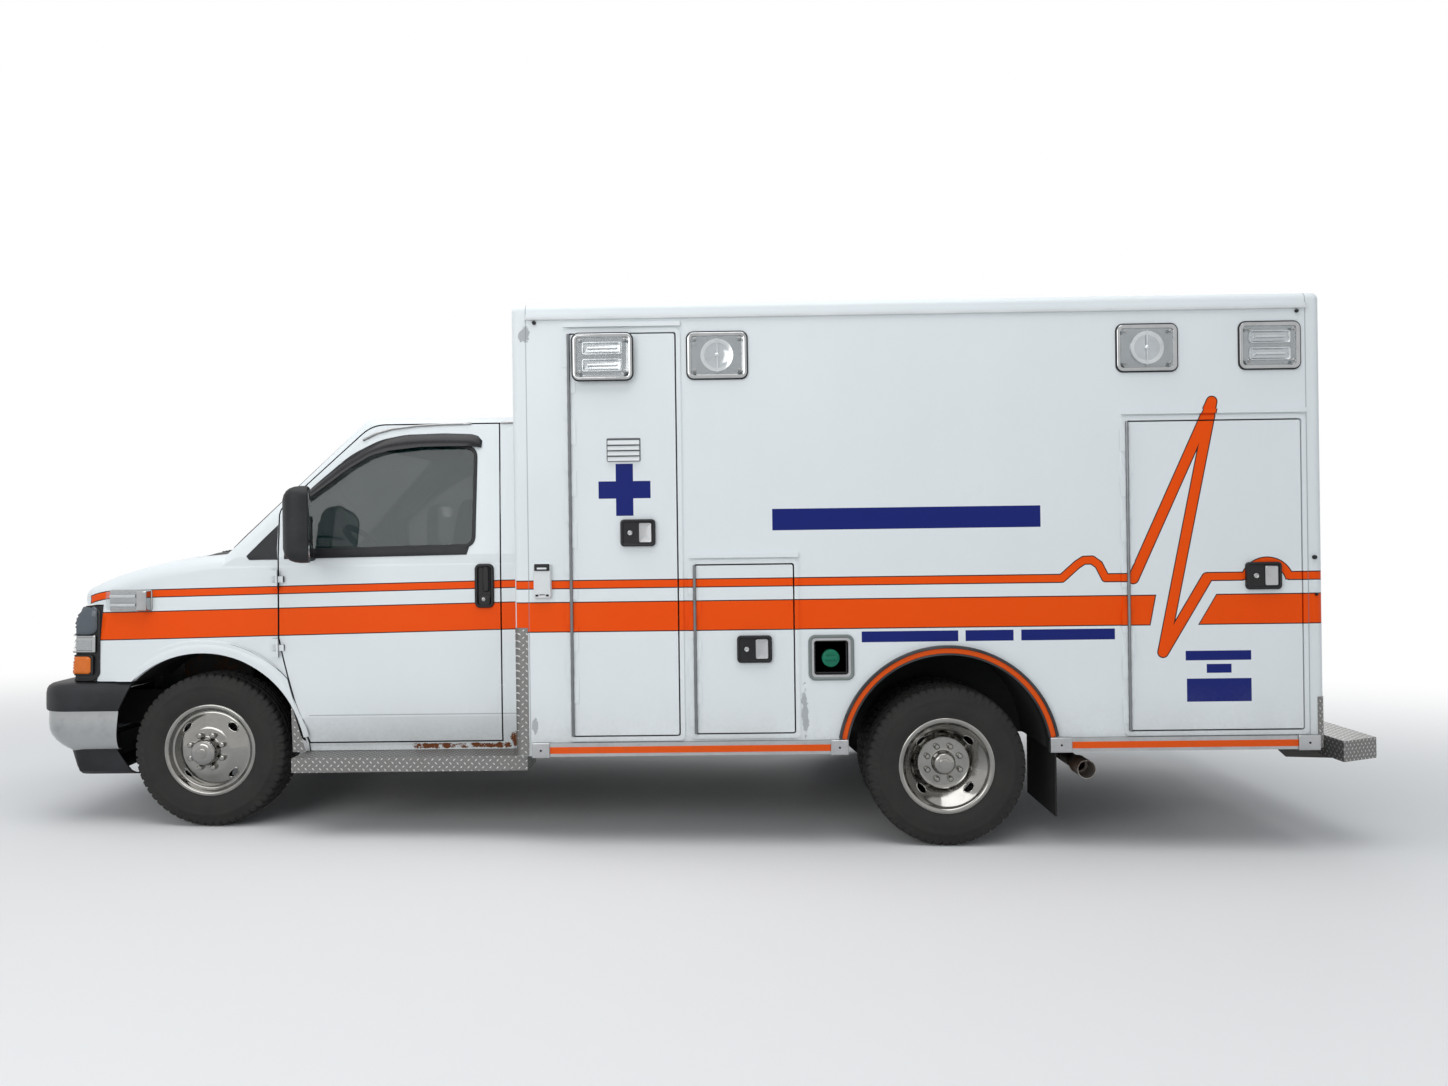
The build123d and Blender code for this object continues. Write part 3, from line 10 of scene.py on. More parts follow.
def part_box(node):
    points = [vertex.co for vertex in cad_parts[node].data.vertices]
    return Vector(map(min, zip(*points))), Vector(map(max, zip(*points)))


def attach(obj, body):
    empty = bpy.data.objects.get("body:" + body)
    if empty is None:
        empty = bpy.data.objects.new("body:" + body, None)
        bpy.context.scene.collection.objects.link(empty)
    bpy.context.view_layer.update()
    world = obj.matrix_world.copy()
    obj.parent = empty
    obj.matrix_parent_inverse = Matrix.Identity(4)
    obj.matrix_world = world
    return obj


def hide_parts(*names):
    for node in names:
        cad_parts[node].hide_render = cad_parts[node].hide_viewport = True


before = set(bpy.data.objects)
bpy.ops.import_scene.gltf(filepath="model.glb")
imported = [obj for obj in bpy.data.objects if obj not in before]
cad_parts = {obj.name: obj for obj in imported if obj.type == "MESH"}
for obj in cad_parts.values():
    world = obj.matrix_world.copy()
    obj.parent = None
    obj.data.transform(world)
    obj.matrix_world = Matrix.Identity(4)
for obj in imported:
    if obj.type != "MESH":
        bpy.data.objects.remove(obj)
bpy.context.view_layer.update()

# Stance. The body is drawn level, in millimetres from the rear axle: x rearwards, y to the
# right, z up. The real ambulance stands nose down by the rake, on its softer front springs.
RAKE = math.radians(1.2)
HALF_WHEELBASE = 1765.5
AXLE_Z = 372
tyre_low, tyre_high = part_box("tyres_rear_left")
MIDDLE_X = (tyre_low[0] + tyre_high[0]) / 2 - HALF_WHEELBASE / 1000


def stand(points):
    """Level millimetres to metres on the road: a turn by the rake about mid wheelbase."""
    p = np.asarray(points, float)
    dx = (p[..., 0] + HALF_WHEELBASE) / 1000
    dz = (p[..., 2] - AXLE_Z) / 1000
    x = MIDDLE_X + dx * math.cos(RAKE) - dz * math.sin(RAKE)
    z = AXLE_Z / 1000 + dx * math.sin(RAKE) + dz * math.cos(RAKE)
    return np.stack([x, p[..., 1] / 1000, z], -1)


# Camera: where the photograph was taken, about five metres off the left side at the height
# of the hood, with the lens's angle worked out from the wheelbase and the box's height.
EYE = (-948, -6216.5, 1382)
YAW = -0.014
ROLL = 0.0132
FOCAL_PIXELS = 1088
FRAME_WIDTH = 1448
SENSOR_WIDTH = 36


def linked(name, data):
    """A new object of the scene."""
    made = bpy.data.objects.new(name, data)
    bpy.context.scene.collection.objects.link(made)
    return made


def placed(axes, place):
    """The matrix of something at a place, with the given axes as its own x, y and z."""
    return Matrix.Translation(place) @ Matrix(axes).transposed().to_4x4()


camera_data = bpy.data.cameras.new("camera")
camera_data.sensor_width = SENSOR_WIDTH
camera_data.lens = SENSOR_WIDTH * FOCAL_PIXELS / FRAME_WIDTH
camera = linked("camera", camera_data)
rake_turn = Matrix.Rotation(-RAKE, 3, "Y")
right = np.array([math.cos(YAW), -math.sin(YAW), -ROLL])
up = np.array([ROLL * math.cos(YAW), -ROLL * math.sin(YAW), 1])
right /= np.linalg.norm(right)
up /= np.linalg.norm(up)
camera_axes = [rake_turn @ Vector(axis) for axis in (right, up, np.cross(right, up))]
camera.matrix_world = placed(camera_axes, stand(EYE).tolist())
bpy.context.scene.camera = camera
bpy.context.scene.view_settings.view_transform = "Standard"


class Wire:
    """A node's output with arithmetic: wire * 2 + 1 adds Math nodes to its material."""

    def __init__(self, graph, socket):
        self.graph = graph
        self.socket = socket

    def math(self, operation, *values, **settings):
        inputs = dict(enumerate((self, *values)))
        return self.graph.node("Math", {"operation": operation, **settings}, inputs)

    def __add__(self, other):
        return self.math("ADD", other)

    def __sub__(self, other):
        return self.math("SUBTRACT", other)

    def __rsub__(self, other):
        return (self * -1) + other

    def __mul__(self, other):
        return self.math("MULTIPLY", other)

    def __truediv__(self, other):
        return self.math("DIVIDE", other)

    def __abs__(self):
        return self.math("ABSOLUTE")

    __radd__ = __add__
    __rmul__ = __mul__

    def low(self, other):
        """The smaller of the two."""
        return self.math("MINIMUM", other)

    def high(self, other):
        """The larger of the two."""
        return self.math("MAXIMUM", other)

    def step(self, start, end):
        """0 before start, 1 after end, smooth between them."""
        return self.graph.node(
            "MapRange",
            {"interpolation_type": "SMOOTHSTEP", "clamp": True},
            {"Value": self, "From Min": start, "From Max": end},
        )

    def mix(self, low_colour, high_colour):
        """low_colour where this is 0, high_colour where it is 1."""
        return self.graph.blend(self, low_colour, high_colour)


class Finish:
    """One material, or the sky: node() adds any node, and shade() ends a material in a
    principled surface."""

    def __init__(self, name, owner=None):
        self.material = owner or bpy.data.materials.new(name)
        self.material.use_nodes = True
        self.tree = self.material.node_tree
        self.tree.nodes.clear()

    def node(self, kind, settings=None, inputs=None, output=0):
        node = self.tree.nodes.new("ShaderNode" + kind)
        for key, value in (settings or {}).items():
            setattr(node, key, value)
        for key, value in (inputs or {}).items():
            if isinstance(value, Wire):
                self.tree.links.new(value.socket, node.inputs[key])
            elif value is not None:
                node.inputs[key].default_value = value
        return Wire(self, node.outputs[output])

    def blend(self, factor, low_colour, high_colour):
        low_colour, high_colour = (
            c if isinstance(c, Wire) else (*c[:3], 1) for c in (low_colour, high_colour)
        )
        settings = {"data_type": "RGBA"}
        return self.node("Mix", settings, {0: factor, 6: low_colour, 7: high_colour}, 2)

    def end(self, kind, surface):
        """The node that the graph ends in."""
        output = self.tree.nodes.new("ShaderNodeOutput" + kind)
        self.tree.links.new(surface.socket, output.inputs[0])

    def parts(self, vector):
        """The three parts of a vector wire."""
        node = self.node("SeparateXYZ", None, {0: vector}).socket.node
        return tuple(Wire(self, node.outputs[k]) for k in range(3))

    def road(self):
        """The point on the road, in metres, as a vector wire."""
        return self.node("TexCoord", output=3)

    def place(self):
        """The point on the road, in metres: a vector wire and its three parts."""
        where = self.road()
        return where, *self.parts(where)

    def level(self):
        """The point in the level body, in metres from the rear axle. Its vector wire stays
        that of the road."""
        where, x, y, z = self.place()
        dx = x - MIDDLE_X
        dz = z - AXLE_Z / 1000
        along = dx * math.cos(RAKE) + dz * math.sin(RAKE) - HALF_WHEELBASE / 1000
        height = dz * math.cos(RAKE) - dx * math.sin(RAKE) + AXLE_Z / 1000
        return where, along, y, height

    def facing(self):
        """The three parts of the direction that the surface faces."""
        return self.parts(self.node("NewGeometry", output=1))

    def seen(self):
        """1 for what the camera sees, also by reflection or through glass, and else 0."""
        rays = self.node("LightPath").socket.node
        camera, glossy, through = (
            Wire(self, rays.outputs[f"Is {kind} Ray"]) for kind in ("Camera", "Glossy", "Transmission")
        )
        return camera.high(glossy).high(through)

    def noise(self, where, scale, detail=3.0, rough=0.5, stretch=None):
        if stretch:
            where = self.node("Mapping", None, {"Vector": where, "Scale": stretch})
        inputs = {"Vector": where, "Scale": scale, "Detail": detail, "Roughness": rough}
        return self.node("TexNoise", None, inputs)

    def shade(self, colour, roughness=0.5, bump=None, height=0.001, **values):
        """A principled surface; bump is a wire of heights, height its depth in metres."""
        names = {
            "metallic": "Metallic",
            "coat": "Coat Weight",
            "coat_rough": "Coat Roughness",
            "alpha": "Alpha",
            "glow": "Emission Color",
            "glow_strength": "Emission Strength",
            "transmission": "Transmission Weight",
            "specular": "Specular IOR Level",
            "sheen": "Sheen Weight",
        }
        inputs = {names[key]: value for key, value in values.items()}
        inputs["Base Color"] = colour if isinstance(colour, Wire) else (*colour[:3], 1)
        inputs["Roughness"] = roughness
        if bump is not None:
            inputs["Normal"] = self.node("Bump", None, {"Height": bump, "Distance": height})
        self.end("Material", self.node("BsdfPrincipled", None, inputs))
        return self.material


# Floor: a pale seamless studio floor, which fades to white where only the camera sees it.
FLOOR_HALF = 30
FADE_START = 2.6
FADE_END = 7.5
FADE_SQUASH = 0.55
WHITE_LIGHT = (1, 1, 1, 1)
floor_corners = [(-1, -1), (1, -1), (1, 1), (-1, 1)]
floor_mesh = bpy.data.meshes.new("floor")
floor_mesh.from_pydata([(x * FLOOR_HALF, y * FLOOR_HALF, 0) for x, y in floor_corners], [], [(0, 1, 2, 3)])
floor = linked("floor", floor_mesh)
finish = Finish("floor_paint")
where, across, deep, _ = finish.place()
floor_colour = (finish.noise(where, 3.0) * 0.04).mix((0.78, 0.78, 0.77), (0.7, 0.7, 0.7))
floor_mesh.materials.append(finish.shade(floor_colour, 0.85))
near = Wire(finish, finish.tree.nodes["Principled BSDF"].outputs[0])
distance = (across * across * FADE_SQUASH + deep * deep).math("SQRT")
white = finish.node("Emission", None, {"Color": WHITE_LIGHT, "Strength": 1.0})
fade = distance.step(FADE_START, FADE_END) * finish.seen()
mixed = finish.node("MixShader", None, {0: fade, 1: near, 2: white})
finish.tree.links.new(mixed.socket, finish.tree.nodes["Material Output"].inputs[0])

# Studio: an even pale sky all round and three large soft lamps: above, on the camera's side
# and behind. The camera sees the sky as plain white.
world = bpy.data.worlds.new("studio")
bpy.context.scene.world = world
studio = Finish("studio", world)
sky = studio.node("Background", None, {"Color": (0.86, 0.92, 1.0, 1), "Strength": 0.5})
backdrop = studio.node("Background", None, {"Color": WHITE_LIGHT, "Strength": 1.0})
studio.end("World", studio.node("MixShader", None, {0: studio.seen(), 1: sky, 2: backdrop}))
STUDIO_LAMPS = [
    # name, place, target, width, height, power in watts
    ("sky_lamp", (-1.0, -2.5, 7.5), (0, 0, 1), 9.0, 5.0, 330),
    ("side_lamp", (-4.5, -9.0, 4.2), (0, 0, 1.2), 6.0, 4.0, 215),
    ("back_lamp", (4.5, 8.0, 4.5), (0, 0, 1.2), 6.0, 4.0, 220),
]
for name, place, target, width, height, power in STUDIO_LAMPS:
    light = bpy.data.lights.new(name, "AREA")
    light.shape = "RECTANGLE"
    light.size = width
    light.size_y = height
    light.energy = power
    away = np.subtract(place, target)
    away /= np.linalg.norm(away)
    side = np.cross((0, 0, 1), away)
    side /= np.linalg.norm(side)
    linked(name, light).matrix_world = placed([side, np.cross(away, side), away], place)


def grid(points, wrap_u=False, wrap_v=False, caps=False):
    """Vertices and quads of the surface P[i, j]. A wrapped direction joins its last line to
    its first, and caps close the first and last row with one face each."""
    n, m = points.shape[:2]
    index = np.arange(n * m).reshape(n, m)
    i = np.arange(n if wrap_u else n - 1)[:, None]
    j = np.arange(m if wrap_v else m - 1)[None, :]
    i2, j2 = (i + 1) % n, (j + 1) % m
    quads = np.stack([index[i, j], index[i2, j], index[i2, j2], index[i, j2]], -1)
    faces = quads.reshape(-1, 4).tolist()
    if caps:
        faces += [index[0].tolist(), index[-1][::-1].tolist()]
    return points.reshape(-1, 3), faces


def merged(parts):
    """Several surfaces as one list of vertices and one of faces."""
    vertices, faces, start = [], [], 0
    for points, polygons in parts:
        vertices.append(points)
        faces += [[k + start for k in polygon] for polygon in polygons]
        start += len(points)
    return np.concatenate(vertices), faces


def piece(name, parts, material, body, crease=32, closed=True):
    """One shown piece from level surfaces: it stands on the road and rides on its body."""
    vertices, faces = merged(parts)
    mesh = bpy.data.meshes.new(name)
    mesh.from_pydata(stand(vertices).tolist(), [], faces)
    shape = bmesh.new()
    shape.from_mesh(mesh)
    bmesh.ops.remove_doubles(shape, verts=shape.verts, dist=0.00002)
    if closed:
        bmesh.ops.recalc_face_normals(shape, faces=shape.faces)
    shape.to_mesh(mesh)
    shape.free()
    mesh.shade_smooth()
    mesh.set_sharp_from_angle(angle=math.radians(crease))
    made = linked(name, mesh)
    mesh.materials.append(material)
    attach(made, body)
    return made


def dress(material, *nodes):
    """Gives carried-over nodes their finish."""
    for node in nodes:
        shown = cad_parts[node]
        shown.data.materials.clear()
        shown.data.materials.append(material)


# The sides and ends of the body as drawing boards, on which flat fittings are laid: each has
# its directions across, up and outwards.
LEFT = np.array([(1, 0, 0), (0, 0, 1), (0, -1, 0)], float)
RIGHT = np.array([(-1, 0, 0), (0, 0, 1), (0, 1, 0)], float)
REAR = np.array([(0, 1, 0), (0, 0, 1), (1, 0, 0)], float)
FRONT = np.array([(0, -1, 0), (0, 0, 1), (-1, 0, 0)], float)
SIDES = {-1: LEFT, 1: RIGHT}
SIDE_WORDS = ((-1, "left"), (1, "right"))
BOX_Y = 1206.5


def rounded(width, height, radius, steps=6, between=0):
    """Points round a rounded rectangle, counter-clockwise: steps + 1 on each corner's arc and
    so many between on each side."""
    radius = min(radius, width / 2 - 0.01, height / 2 - 0.01)
    turn = np.linspace(0, math.pi / 2, steps + 1)
    corners = []
    for k, (sx, sy) in enumerate(((1, 1), (-1, 1), (-1, -1), (1, -1))):
        angle = turn + k * math.pi / 2
        across = sx * (width / 2 - radius) + radius * np.cos(angle)
        rise = sy * (height / 2 - radius) + radius * np.sin(angle)
        corners.append(np.stack([across, rise], -1))
    loop = []
    for arc, after in zip(corners, corners[1:] + corners[:1]):
        loop += [arc, np.linspace(arc[-1], after[0], between + 2)[1:-1]]
    return np.concatenate(loop)


def plate(centre, board, size, radius, profile, steps=6):
    """A raised or sunk plate: its rounded outline, shrunk and raised as the profile says."""
    across, rise, out = board
    loops = []
    for inset, height in profile:
        width, tall = size[0] - 2 * inset, size[1] - 2 * inset
        p = rounded(width, tall, max(radius - inset, 0.4), steps)
        middle = np.asarray(centre, float) + height * out
        loops.append(middle + p[:, :1] * across + p[:, 1:] * rise)
    return grid(np.array(loops), wrap_v=True, caps=True)


def disc(centre, board, radius, profile, steps=6):
    """A round plate."""
    return plate(centre, board, (2 * radius, 2 * radius), radius, profile, steps)


def tube(path, radius, around=10, closed=False):
    """A tube round a path: circles square to it, in a frame carried along the path."""
    p = np.asarray(path, float)
    step = np.roll(p, -1, 0) - np.roll(p, 1, 0) if closed else np.gradient(p, axis=0)
    step /= np.linalg.norm(step, axis=1)[:, None]
    guide = np.array([0.13, 0.27, 0.95])
    side = np.cross(step, guide)
    side /= np.linalg.norm(side, axis=1)[:, None]
    top = np.cross(side, step)
    angle = np.linspace(0, 2 * math.pi, around, endpoint=False)
    radius = np.broadcast_to(np.asarray(radius, float), (len(p),))[:, None, None]
    ring = np.cos(angle)[None, :, None] * side[:, None] + np.sin(angle)[None, :, None] * top[:, None]
    return grid(p[:, None] + radius * ring, wrap_u=closed, wrap_v=True, caps=not closed)


def bar(x, y, z, edge=2.0):
    """A bar between two values each way, with its edges broken."""
    centre = ((x[0] + x[1]) / 2, (y[0] + y[1]) / 2, z[0])
    board = np.array([(1, 0, 0), (0, 1, 0), (0, 0, 1)], float)
    tall = z[1] - z[0]
    profile = [(edge, 0), (0, edge), (0, tall - edge), (edge, tall)]
    return plate(centre, board, (x[1] - x[0], y[1] - y[0]), 2 * edge, profile, 3)


def mirrored(part):
    """The same surface on the other side of the vehicle."""
    vertices, faces = part
    return vertices * (1, -1, 1), [face[::-1] for face in faces]


# Body paint: white enamel over steel (cab) and aluminium (box), with vinyl stripes. The
# stripes are drawn on the level body, in metres: a thin and a thick one, the pulse line, and
# plain blue blocks and a cross where the real one has words and a sign. Low down it is splashed.
WHITE = (0.79, 0.83, 0.84)
CHALKY_WHITE = (0.73, 0.77, 0.775)
ORANGE = (0.86, 0.07, 0.0)
FADED_ORANGE = (0.84, 0.11, 0.004)
VINYL_EDGE = (0.012, 0.01, 0.012)
BLUE = (0.001, 0.01, 0.15)
ROAD_DIRT = (0.33, 0.3, 0.26)
ALUMINIUM_OXIDE = (0.42, 0.44, 0.45)
SEAM_SHADOW = (0.2, 0.22, 0.23)
UNDERCOAT = (0.012, 0.012, 0.012)
EDGE_WIDTH = 0.0048
CUT_SOFT = 0.0006
CAB_END = -2.0
FENDER_END = -3.2

# Stripes on the cab: a line's x, its height there and its slope; and where the stripes begin
CAB_THIN = (-2.1, 1.1985, 0.0144)
CAB_THIN_HALF = 0.0205
CAB_THICK_TOP = (-2.08, 1.1135, 0.0141)
CAB_THICK_FOOT = (-2.08, 0.9785, 0.0156)
NOSE_DROP_X = -3.97
THIN_START = -4.128
THICK_START = -4.088

# Stripes on the box: the heights of the thin and the thick one, and their gaps
STRIPE_HALF = 0.021
THIN_Z = 1.1995
THICK_Z = 1.0495
THICK_HALF = 0.0705
thin_gaps = [(0.53, 0.727), (0.851, 1.187), (1.354, 1.554)]
thick_cuts = [((0.928, 0.977), (0.956, 1.118)), ((1.142, 0.975), (1.228, 1.118))]

# The pulse line's points, x and z, and its round bump: the centre and radius of a ring that
# shows above a height
PULSE_HALF = 0.027
pulse_line = [(0.853, 1.195), (1.222, 2.0), (0.984, 0.856), (1.187, 1.193)]
pulse_rise = [(0.529, THIN_Z), (0.6, 1.262), (0.63, 1.281), (0.668, 1.282), (0.698, 1.26), (0.728, THIN_Z)]
PULSE_BUMP = (1.461, 1.161, 0.106)
PULSE_BUMP_FOOT = 1.181
blue_blocks = [
    # low x, high x, low z, high z
    (-0.795, 0.435, 1.437, 1.536),
    (-0.391, 0.052, 0.917, 0.967),
    (0.085, 0.305, 0.917, 0.967),
    (0.340, 0.768, 0.917, 0.967),
    (1.086, 1.384, 0.817, 0.861),
    (1.181, 1.294, 0.759, 0.800),
    (1.090, 1.384, 0.628, 0.734),
]
CROSS = (-1.473, 1.633, 0.12, 0.04)


def above(line, x, z):
    """How far a point lies above a sloped line."""
    at, height, slope = line
    return z - (x - at) * slope - height


def rounds(x, z, cx, cz):
    """Distance from a centre."""
    dx, dz = x - cx, z - cz
    return (dx * dx + dz * dz).math("SQRT")


def beside(x, z, start, end):
    """Distance from a straight stroke between two points."""
    ux, uz = end[0] - start[0], end[1] - start[1]
    length = math.hypot(ux, uz)
    ux, uz = ux / length, uz / length
    px, pz = x - start[0], z - start[1]
    along = px * ux + pz * uz
    over = (along - length).high(along * -1).high(0.0)
    across = px * uz - pz * ux
    return (across * across + over * over).math("SQRT")


def oblong(x, z, cx, cz, half_x, half_z):
    """How far outside a rectangle a point lies, and less than 0 inside it."""
    return (abs(x - cx) - half_x).high(abs(z - cz) - half_z)


def livery(x, z):
    """How far outside the stripes a point lies, and how far outside the blue marks: both are
    less than 0 inside. A union is the smaller of two such wires, and a cut the larger."""
    on_box = x.step(CAB_END - 0.001, CAB_END)
    nose = (NOSE_DROP_X - x).high(0.0)
    cab_thin = abs(above(CAB_THIN, x, z) + nose * nose) - CAB_THIN_HALF
    cab_thick = above(CAB_THICK_TOP, x, z).high(above(CAB_THICK_FOOT, x, z) * -1)
    cab = cab_thin.high(THIN_START - x).low(cab_thick.high(THICK_START - x))
    thin = abs(z - THIN_Z) - STRIPE_HALF
    for start, end in thin_gaps:
        thin = thin.high((x - start).low(end - x))
    sides = []
    for (x0, z0), (x1, z1) in thick_cuts:
        sides.append(x - (z - z0) * ((x1 - x0) / (z1 - z0)) - x0)
    thick = (abs(z - THICK_Z) - THICK_HALF).high(sides[0].low(sides[1] * -1))
    cx, cz, radius = PULSE_BUMP
    ring = abs(rounds(x, z, cx, cz) - radius) - STRIPE_HALF
    box = thin.low(thick).low(ring.high(PULSE_BUMP_FOOT - z))
    for line, half in ((pulse_rise, STRIPE_HALF), (pulse_line, PULSE_HALF)):
        for start, end in zip(line, line[1:]):
            box = box.low(beside(x, z, start, end) - half)
    cx, cz, arm, half = CROSS
    marks = oblong(x, z, cx, cz, half, arm).low(oblong(x, z, cx, cz, arm, half))
    for x0, x1, z0, z1 in blue_blocks:
        block = oblong(x, z, (x0 + x1) / 2, (z0 + z1) / 2, (x1 - x0) / 2, (z1 - z0) / 2)
        marks = marks.low(block)
    return cab + on_box * (box - cab), marks


# Wear and painted shade: corroded patches (x, z, half width, half height), the rust on the rocker and
# behind it; painted shade in the pressed crease low on the doors and along the corner posts' seams;
# and the two wheel houses
BLISTERS = [(-0.655, 0.6, 0.022, 0.16), (-1.93, 2.36, 0.04, 0.05), (-1.9, 0.55, 0.02, 0.05)]
ROCKER_RUST = (-2.28, 0.42)
CORNER_RUST = (-2.045, 0.45)
DOOR_CREASE_Z = 0.577
DOOR_FRONT = -3.03
POST_SEAMS = (-0.136, 1.786)
SEAM_HALF = 0.0016
CAB_MIDDLE = (-2.75, 1.35)
FRONT_HOUSE = (-3.55, 0.385)
REAR_HOUSE = (0, 0.39)


def paint(name, striped=True):
    """Body paint: white with its stripes, then dirt, corrosion, rust, painted shade along the seams, the
    grey trim in the cab and the undercoat, each laid over what came before by a mask from 0 to 1."""
    finish = Finish(name)
    where, x, y, z = finish.level()
    grain = finish.noise(where, 2.2, 4.0, 0.6)
    streak = finish.noise(where, 5.0, 3.0, 0.6, stretch=(1.0, 1.0, 0.12))
    fine = finish.noise(where, 60.0, 4.0, 0.7)
    ragged = finish.noise(where, 26.0, 5.0, 0.75)
    colour = (grain * 0.6 + streak * 0.4).mix(WHITE, CHALKY_WHITE)
    rough = 0.24 + grain * 0.12
    side = abs(y)
    on_cab = 1 - x.step(CAB_END - 0.01, CAB_END)
    if striped:
        # Vinyl lies on the outer skins only: the box's sides, the cab's sides and the nose
        outside, marks = livery(x, z)
        on_nose = 1 - x.step(FENDER_END - 0.02, FENDER_END)
        outer = side.step(1.193, 1.196).high(side.step(0.85, 0.86) * on_nose)
        outer = outer.high(side.step(0.968, 0.971) * on_cab)
        inside = outside * -1
        vinyl = inside.step(-CUT_SOFT, CUT_SOFT) * outer
        core = inside.step(EDGE_WIDTH - CUT_SOFT, EDGE_WIDTH + CUT_SOFT) * outer
        left = (y * -1).step(1.19, 1.192) * x.step(CAB_END, CAB_END + 0.01)
        ink = (marks * -1).step(-CUT_SOFT, CUT_SOFT) * left
        colour = vinyl.mix(colour, VINYL_EDGE)
        colour = core.mix(colour, (grain * 0.5).mix(ORANGE, FADED_ORANGE))
        colour = ink.mix(colour, BLUE)
        rough = rough + vinyl * 0.1
    # Road dirt: thrown up behind the wheels and along the sills, thinner upwards
    low = 1 - z.step(0.38, 0.85)
    splash = low * low * (fine * 0.5 + grain).step(0.45, 0.95) * 0.34
    colour = splash.mix(colour, ROAD_DIRT)
    # Corroded patches: lifted paint over grey aluminium oxide
    spots = []
    for cx, cz, wide, tall in BLISTERS:
        spots.append(1.5 - rounds((x - cx) / wide, (z - cz) / tall, 0, 0))
    blister = spots[0].high(spots[1]).high(spots[2]).high(0.0)
    lifted = (blister * 0.55 + ragged).step(0.93, 0.99) * side.step(1.19, 1.2)
    colour = lifted.mix(colour, ALUMINIUM_OXIDE)
    # Rust along the cab's rocker
    (cx, cz), (kx, kz) = ROCKER_RUST, CORNER_RUST
    rocker = (1 - abs(x - cx).step(0.2, 0.36)) * (1 - abs(z - cz).step(0.006, 0.03))
    corner = (1 - abs(x - kx).step(0.01, 0.05)) * (1 - abs(z - kz).step(0.02, 0.07))
    rust = (rocker.high(corner) * 0.5 + ragged * 0.9).step(0.86, 0.93) * (1 - x.step(CAB_END - 0.02, CAB_END))
    colour = rust.mix(colour, fine.mix((0.1, 0.026, 0.008), (0.22, 0.075, 0.025)))
    # Painted shade: darker lines along the box's corner-post seams and in the pressed crease low on the cab's
    # doors
    middle, half = POST_SEAMS
    posts = abs(abs(x - middle) - half) - SEAM_HALF
    crease = (abs(z - DOOR_CREASE_Z) - 0.002).high(x - CAB_END).high(DOOR_FRONT - x)
    painted_seam_shade = (1 - posts.low(crease).step(0.0, SEAM_HALF)) * side.step(0.9, 0.91)
    colour = (painted_seam_shade * 0.55).mix(colour, SEAM_SHADOW)
    # Inside the cab the steel has grey trim, and from below everything is dark with undercoat
    nx, ny, nz = finish.facing()
    inward = nx * (x - CAB_MIDDLE[0]) + ny * y + nz * (z - CAB_MIDDLE[1])
    trim = (1 - inward.step(-0.05, 0.0)) * on_cab * x.step(-3.42, -3.4)
    colour = trim.mix(colour, grain.mix((0.045, 0.05, 0.058), (0.07, 0.076, 0.085)))
    liner = (1 - rounds(x, z, *FRONT_HOUSE).step(0.515, 0.518)) * (1 - side.step(0.955, 0.965))
    reveal = 1 - rounds(x, z, *REAR_HOUSE).step(0.4665, 0.468)
    below = (nz * -1).step(0.5, 0.7) * (1 - z.step(0.72, 0.76))
    hidden = (liner * on_cab).high(reveal * (1 - on_cab)).high(below)
    colour = hidden.mix(colour, UNDERCOAT)
    bump = fine * 0.12 + lifted * 1.6 + rust * 1.5
    rough = rough + hidden * 0.4 + trim * 0.3 + splash * 0.4 + lifted * 0.4 + rust * 0.5
    coat = (1 - hidden.high(trim)) * 0.14
    if striped:
        coat = coat * (1 - vinyl)
    return finish.shade(colour, rough, bump, 0.0006, coat=coat, coat_rough=0.08, specular=0.14)


livery_paint = paint("livery_paint")
plain_paint = paint("plain_paint", striped=False)
dress(
    livery_paint,
    "front_fenders",
    "cab_door_left",
    "cab_door_right",
    "cab_shell",
    "hood",
    "box_left_side",
    "box_right_side",
    "box_end_walls",
    "front_locker_door",
    "middle_locker_door",
    "rear_locker_door",
    "entry_door",
    "right_locker_door",
)
dress(plain_paint, "box_roof", "rear_door_left", "rear_door_right")


# Black trim: bumper cover, mirror shells and grille, moulded in grained black plastic that
# has gone grey and chalky where the sun reaches it.
def grained(name, dark, pale, roughness, depth=0.0003):
    """Moulded plastic: clouds from its dark to its pale colour, over a fine grain."""
    finish = Finish(name)
    where = finish.road()
    cloud = finish.noise(where, 4.0, 4.0, 0.6)
    fine = finish.noise(where, 420.0, 2.0, 0.5)
    colour = cloud.step(0.35, 0.75).mix(dark, pale)
    return finish.shade(colour, cloud * 0.15 + roughness, fine, depth, specular=0.3)


black_plastic = grained("black_plastic", (0.009, 0.0095, 0.011), (0.022, 0.023, 0.026), 0.42)
grey_plastic = grained("grey_plastic", (0.1, 0.1, 0.105), (0.15, 0.15, 0.155), 0.5)
dark_plastic = grained("dark_plastic", (0.008, 0.008, 0.009), (0.018, 0.018, 0.02), 0.32)
dress(black_plastic, "bumper_cover", "mirror_left", "mirror_right", "headlamps", "grille", "fuel_tank")
dress(grey_plastic, "dashboard")


# Bright metal: the chromed bumper, lamp bezels and wheel covers, a little hazed by washing.
def bright(name, colour, roughness, haze, scale=9.0):
    """Polished metal: haze is how much rougher it gets where it was smeared."""
    finish = Finish(name)
    where = finish.road()
    cloud = finish.noise(where, scale, 5.0, 0.65)
    smear = finish.noise(where, scale * 6, 3.0, 0.6)
    tone = cloud.step(0.4, 0.8).mix(colour, tuple(c * 0.8 for c in colour))
    rough = roughness + (cloud * 0.6 + smear * 0.4).step(0.45, 0.8) * haze
    return finish.shade(tone, rough, metallic=1.0)


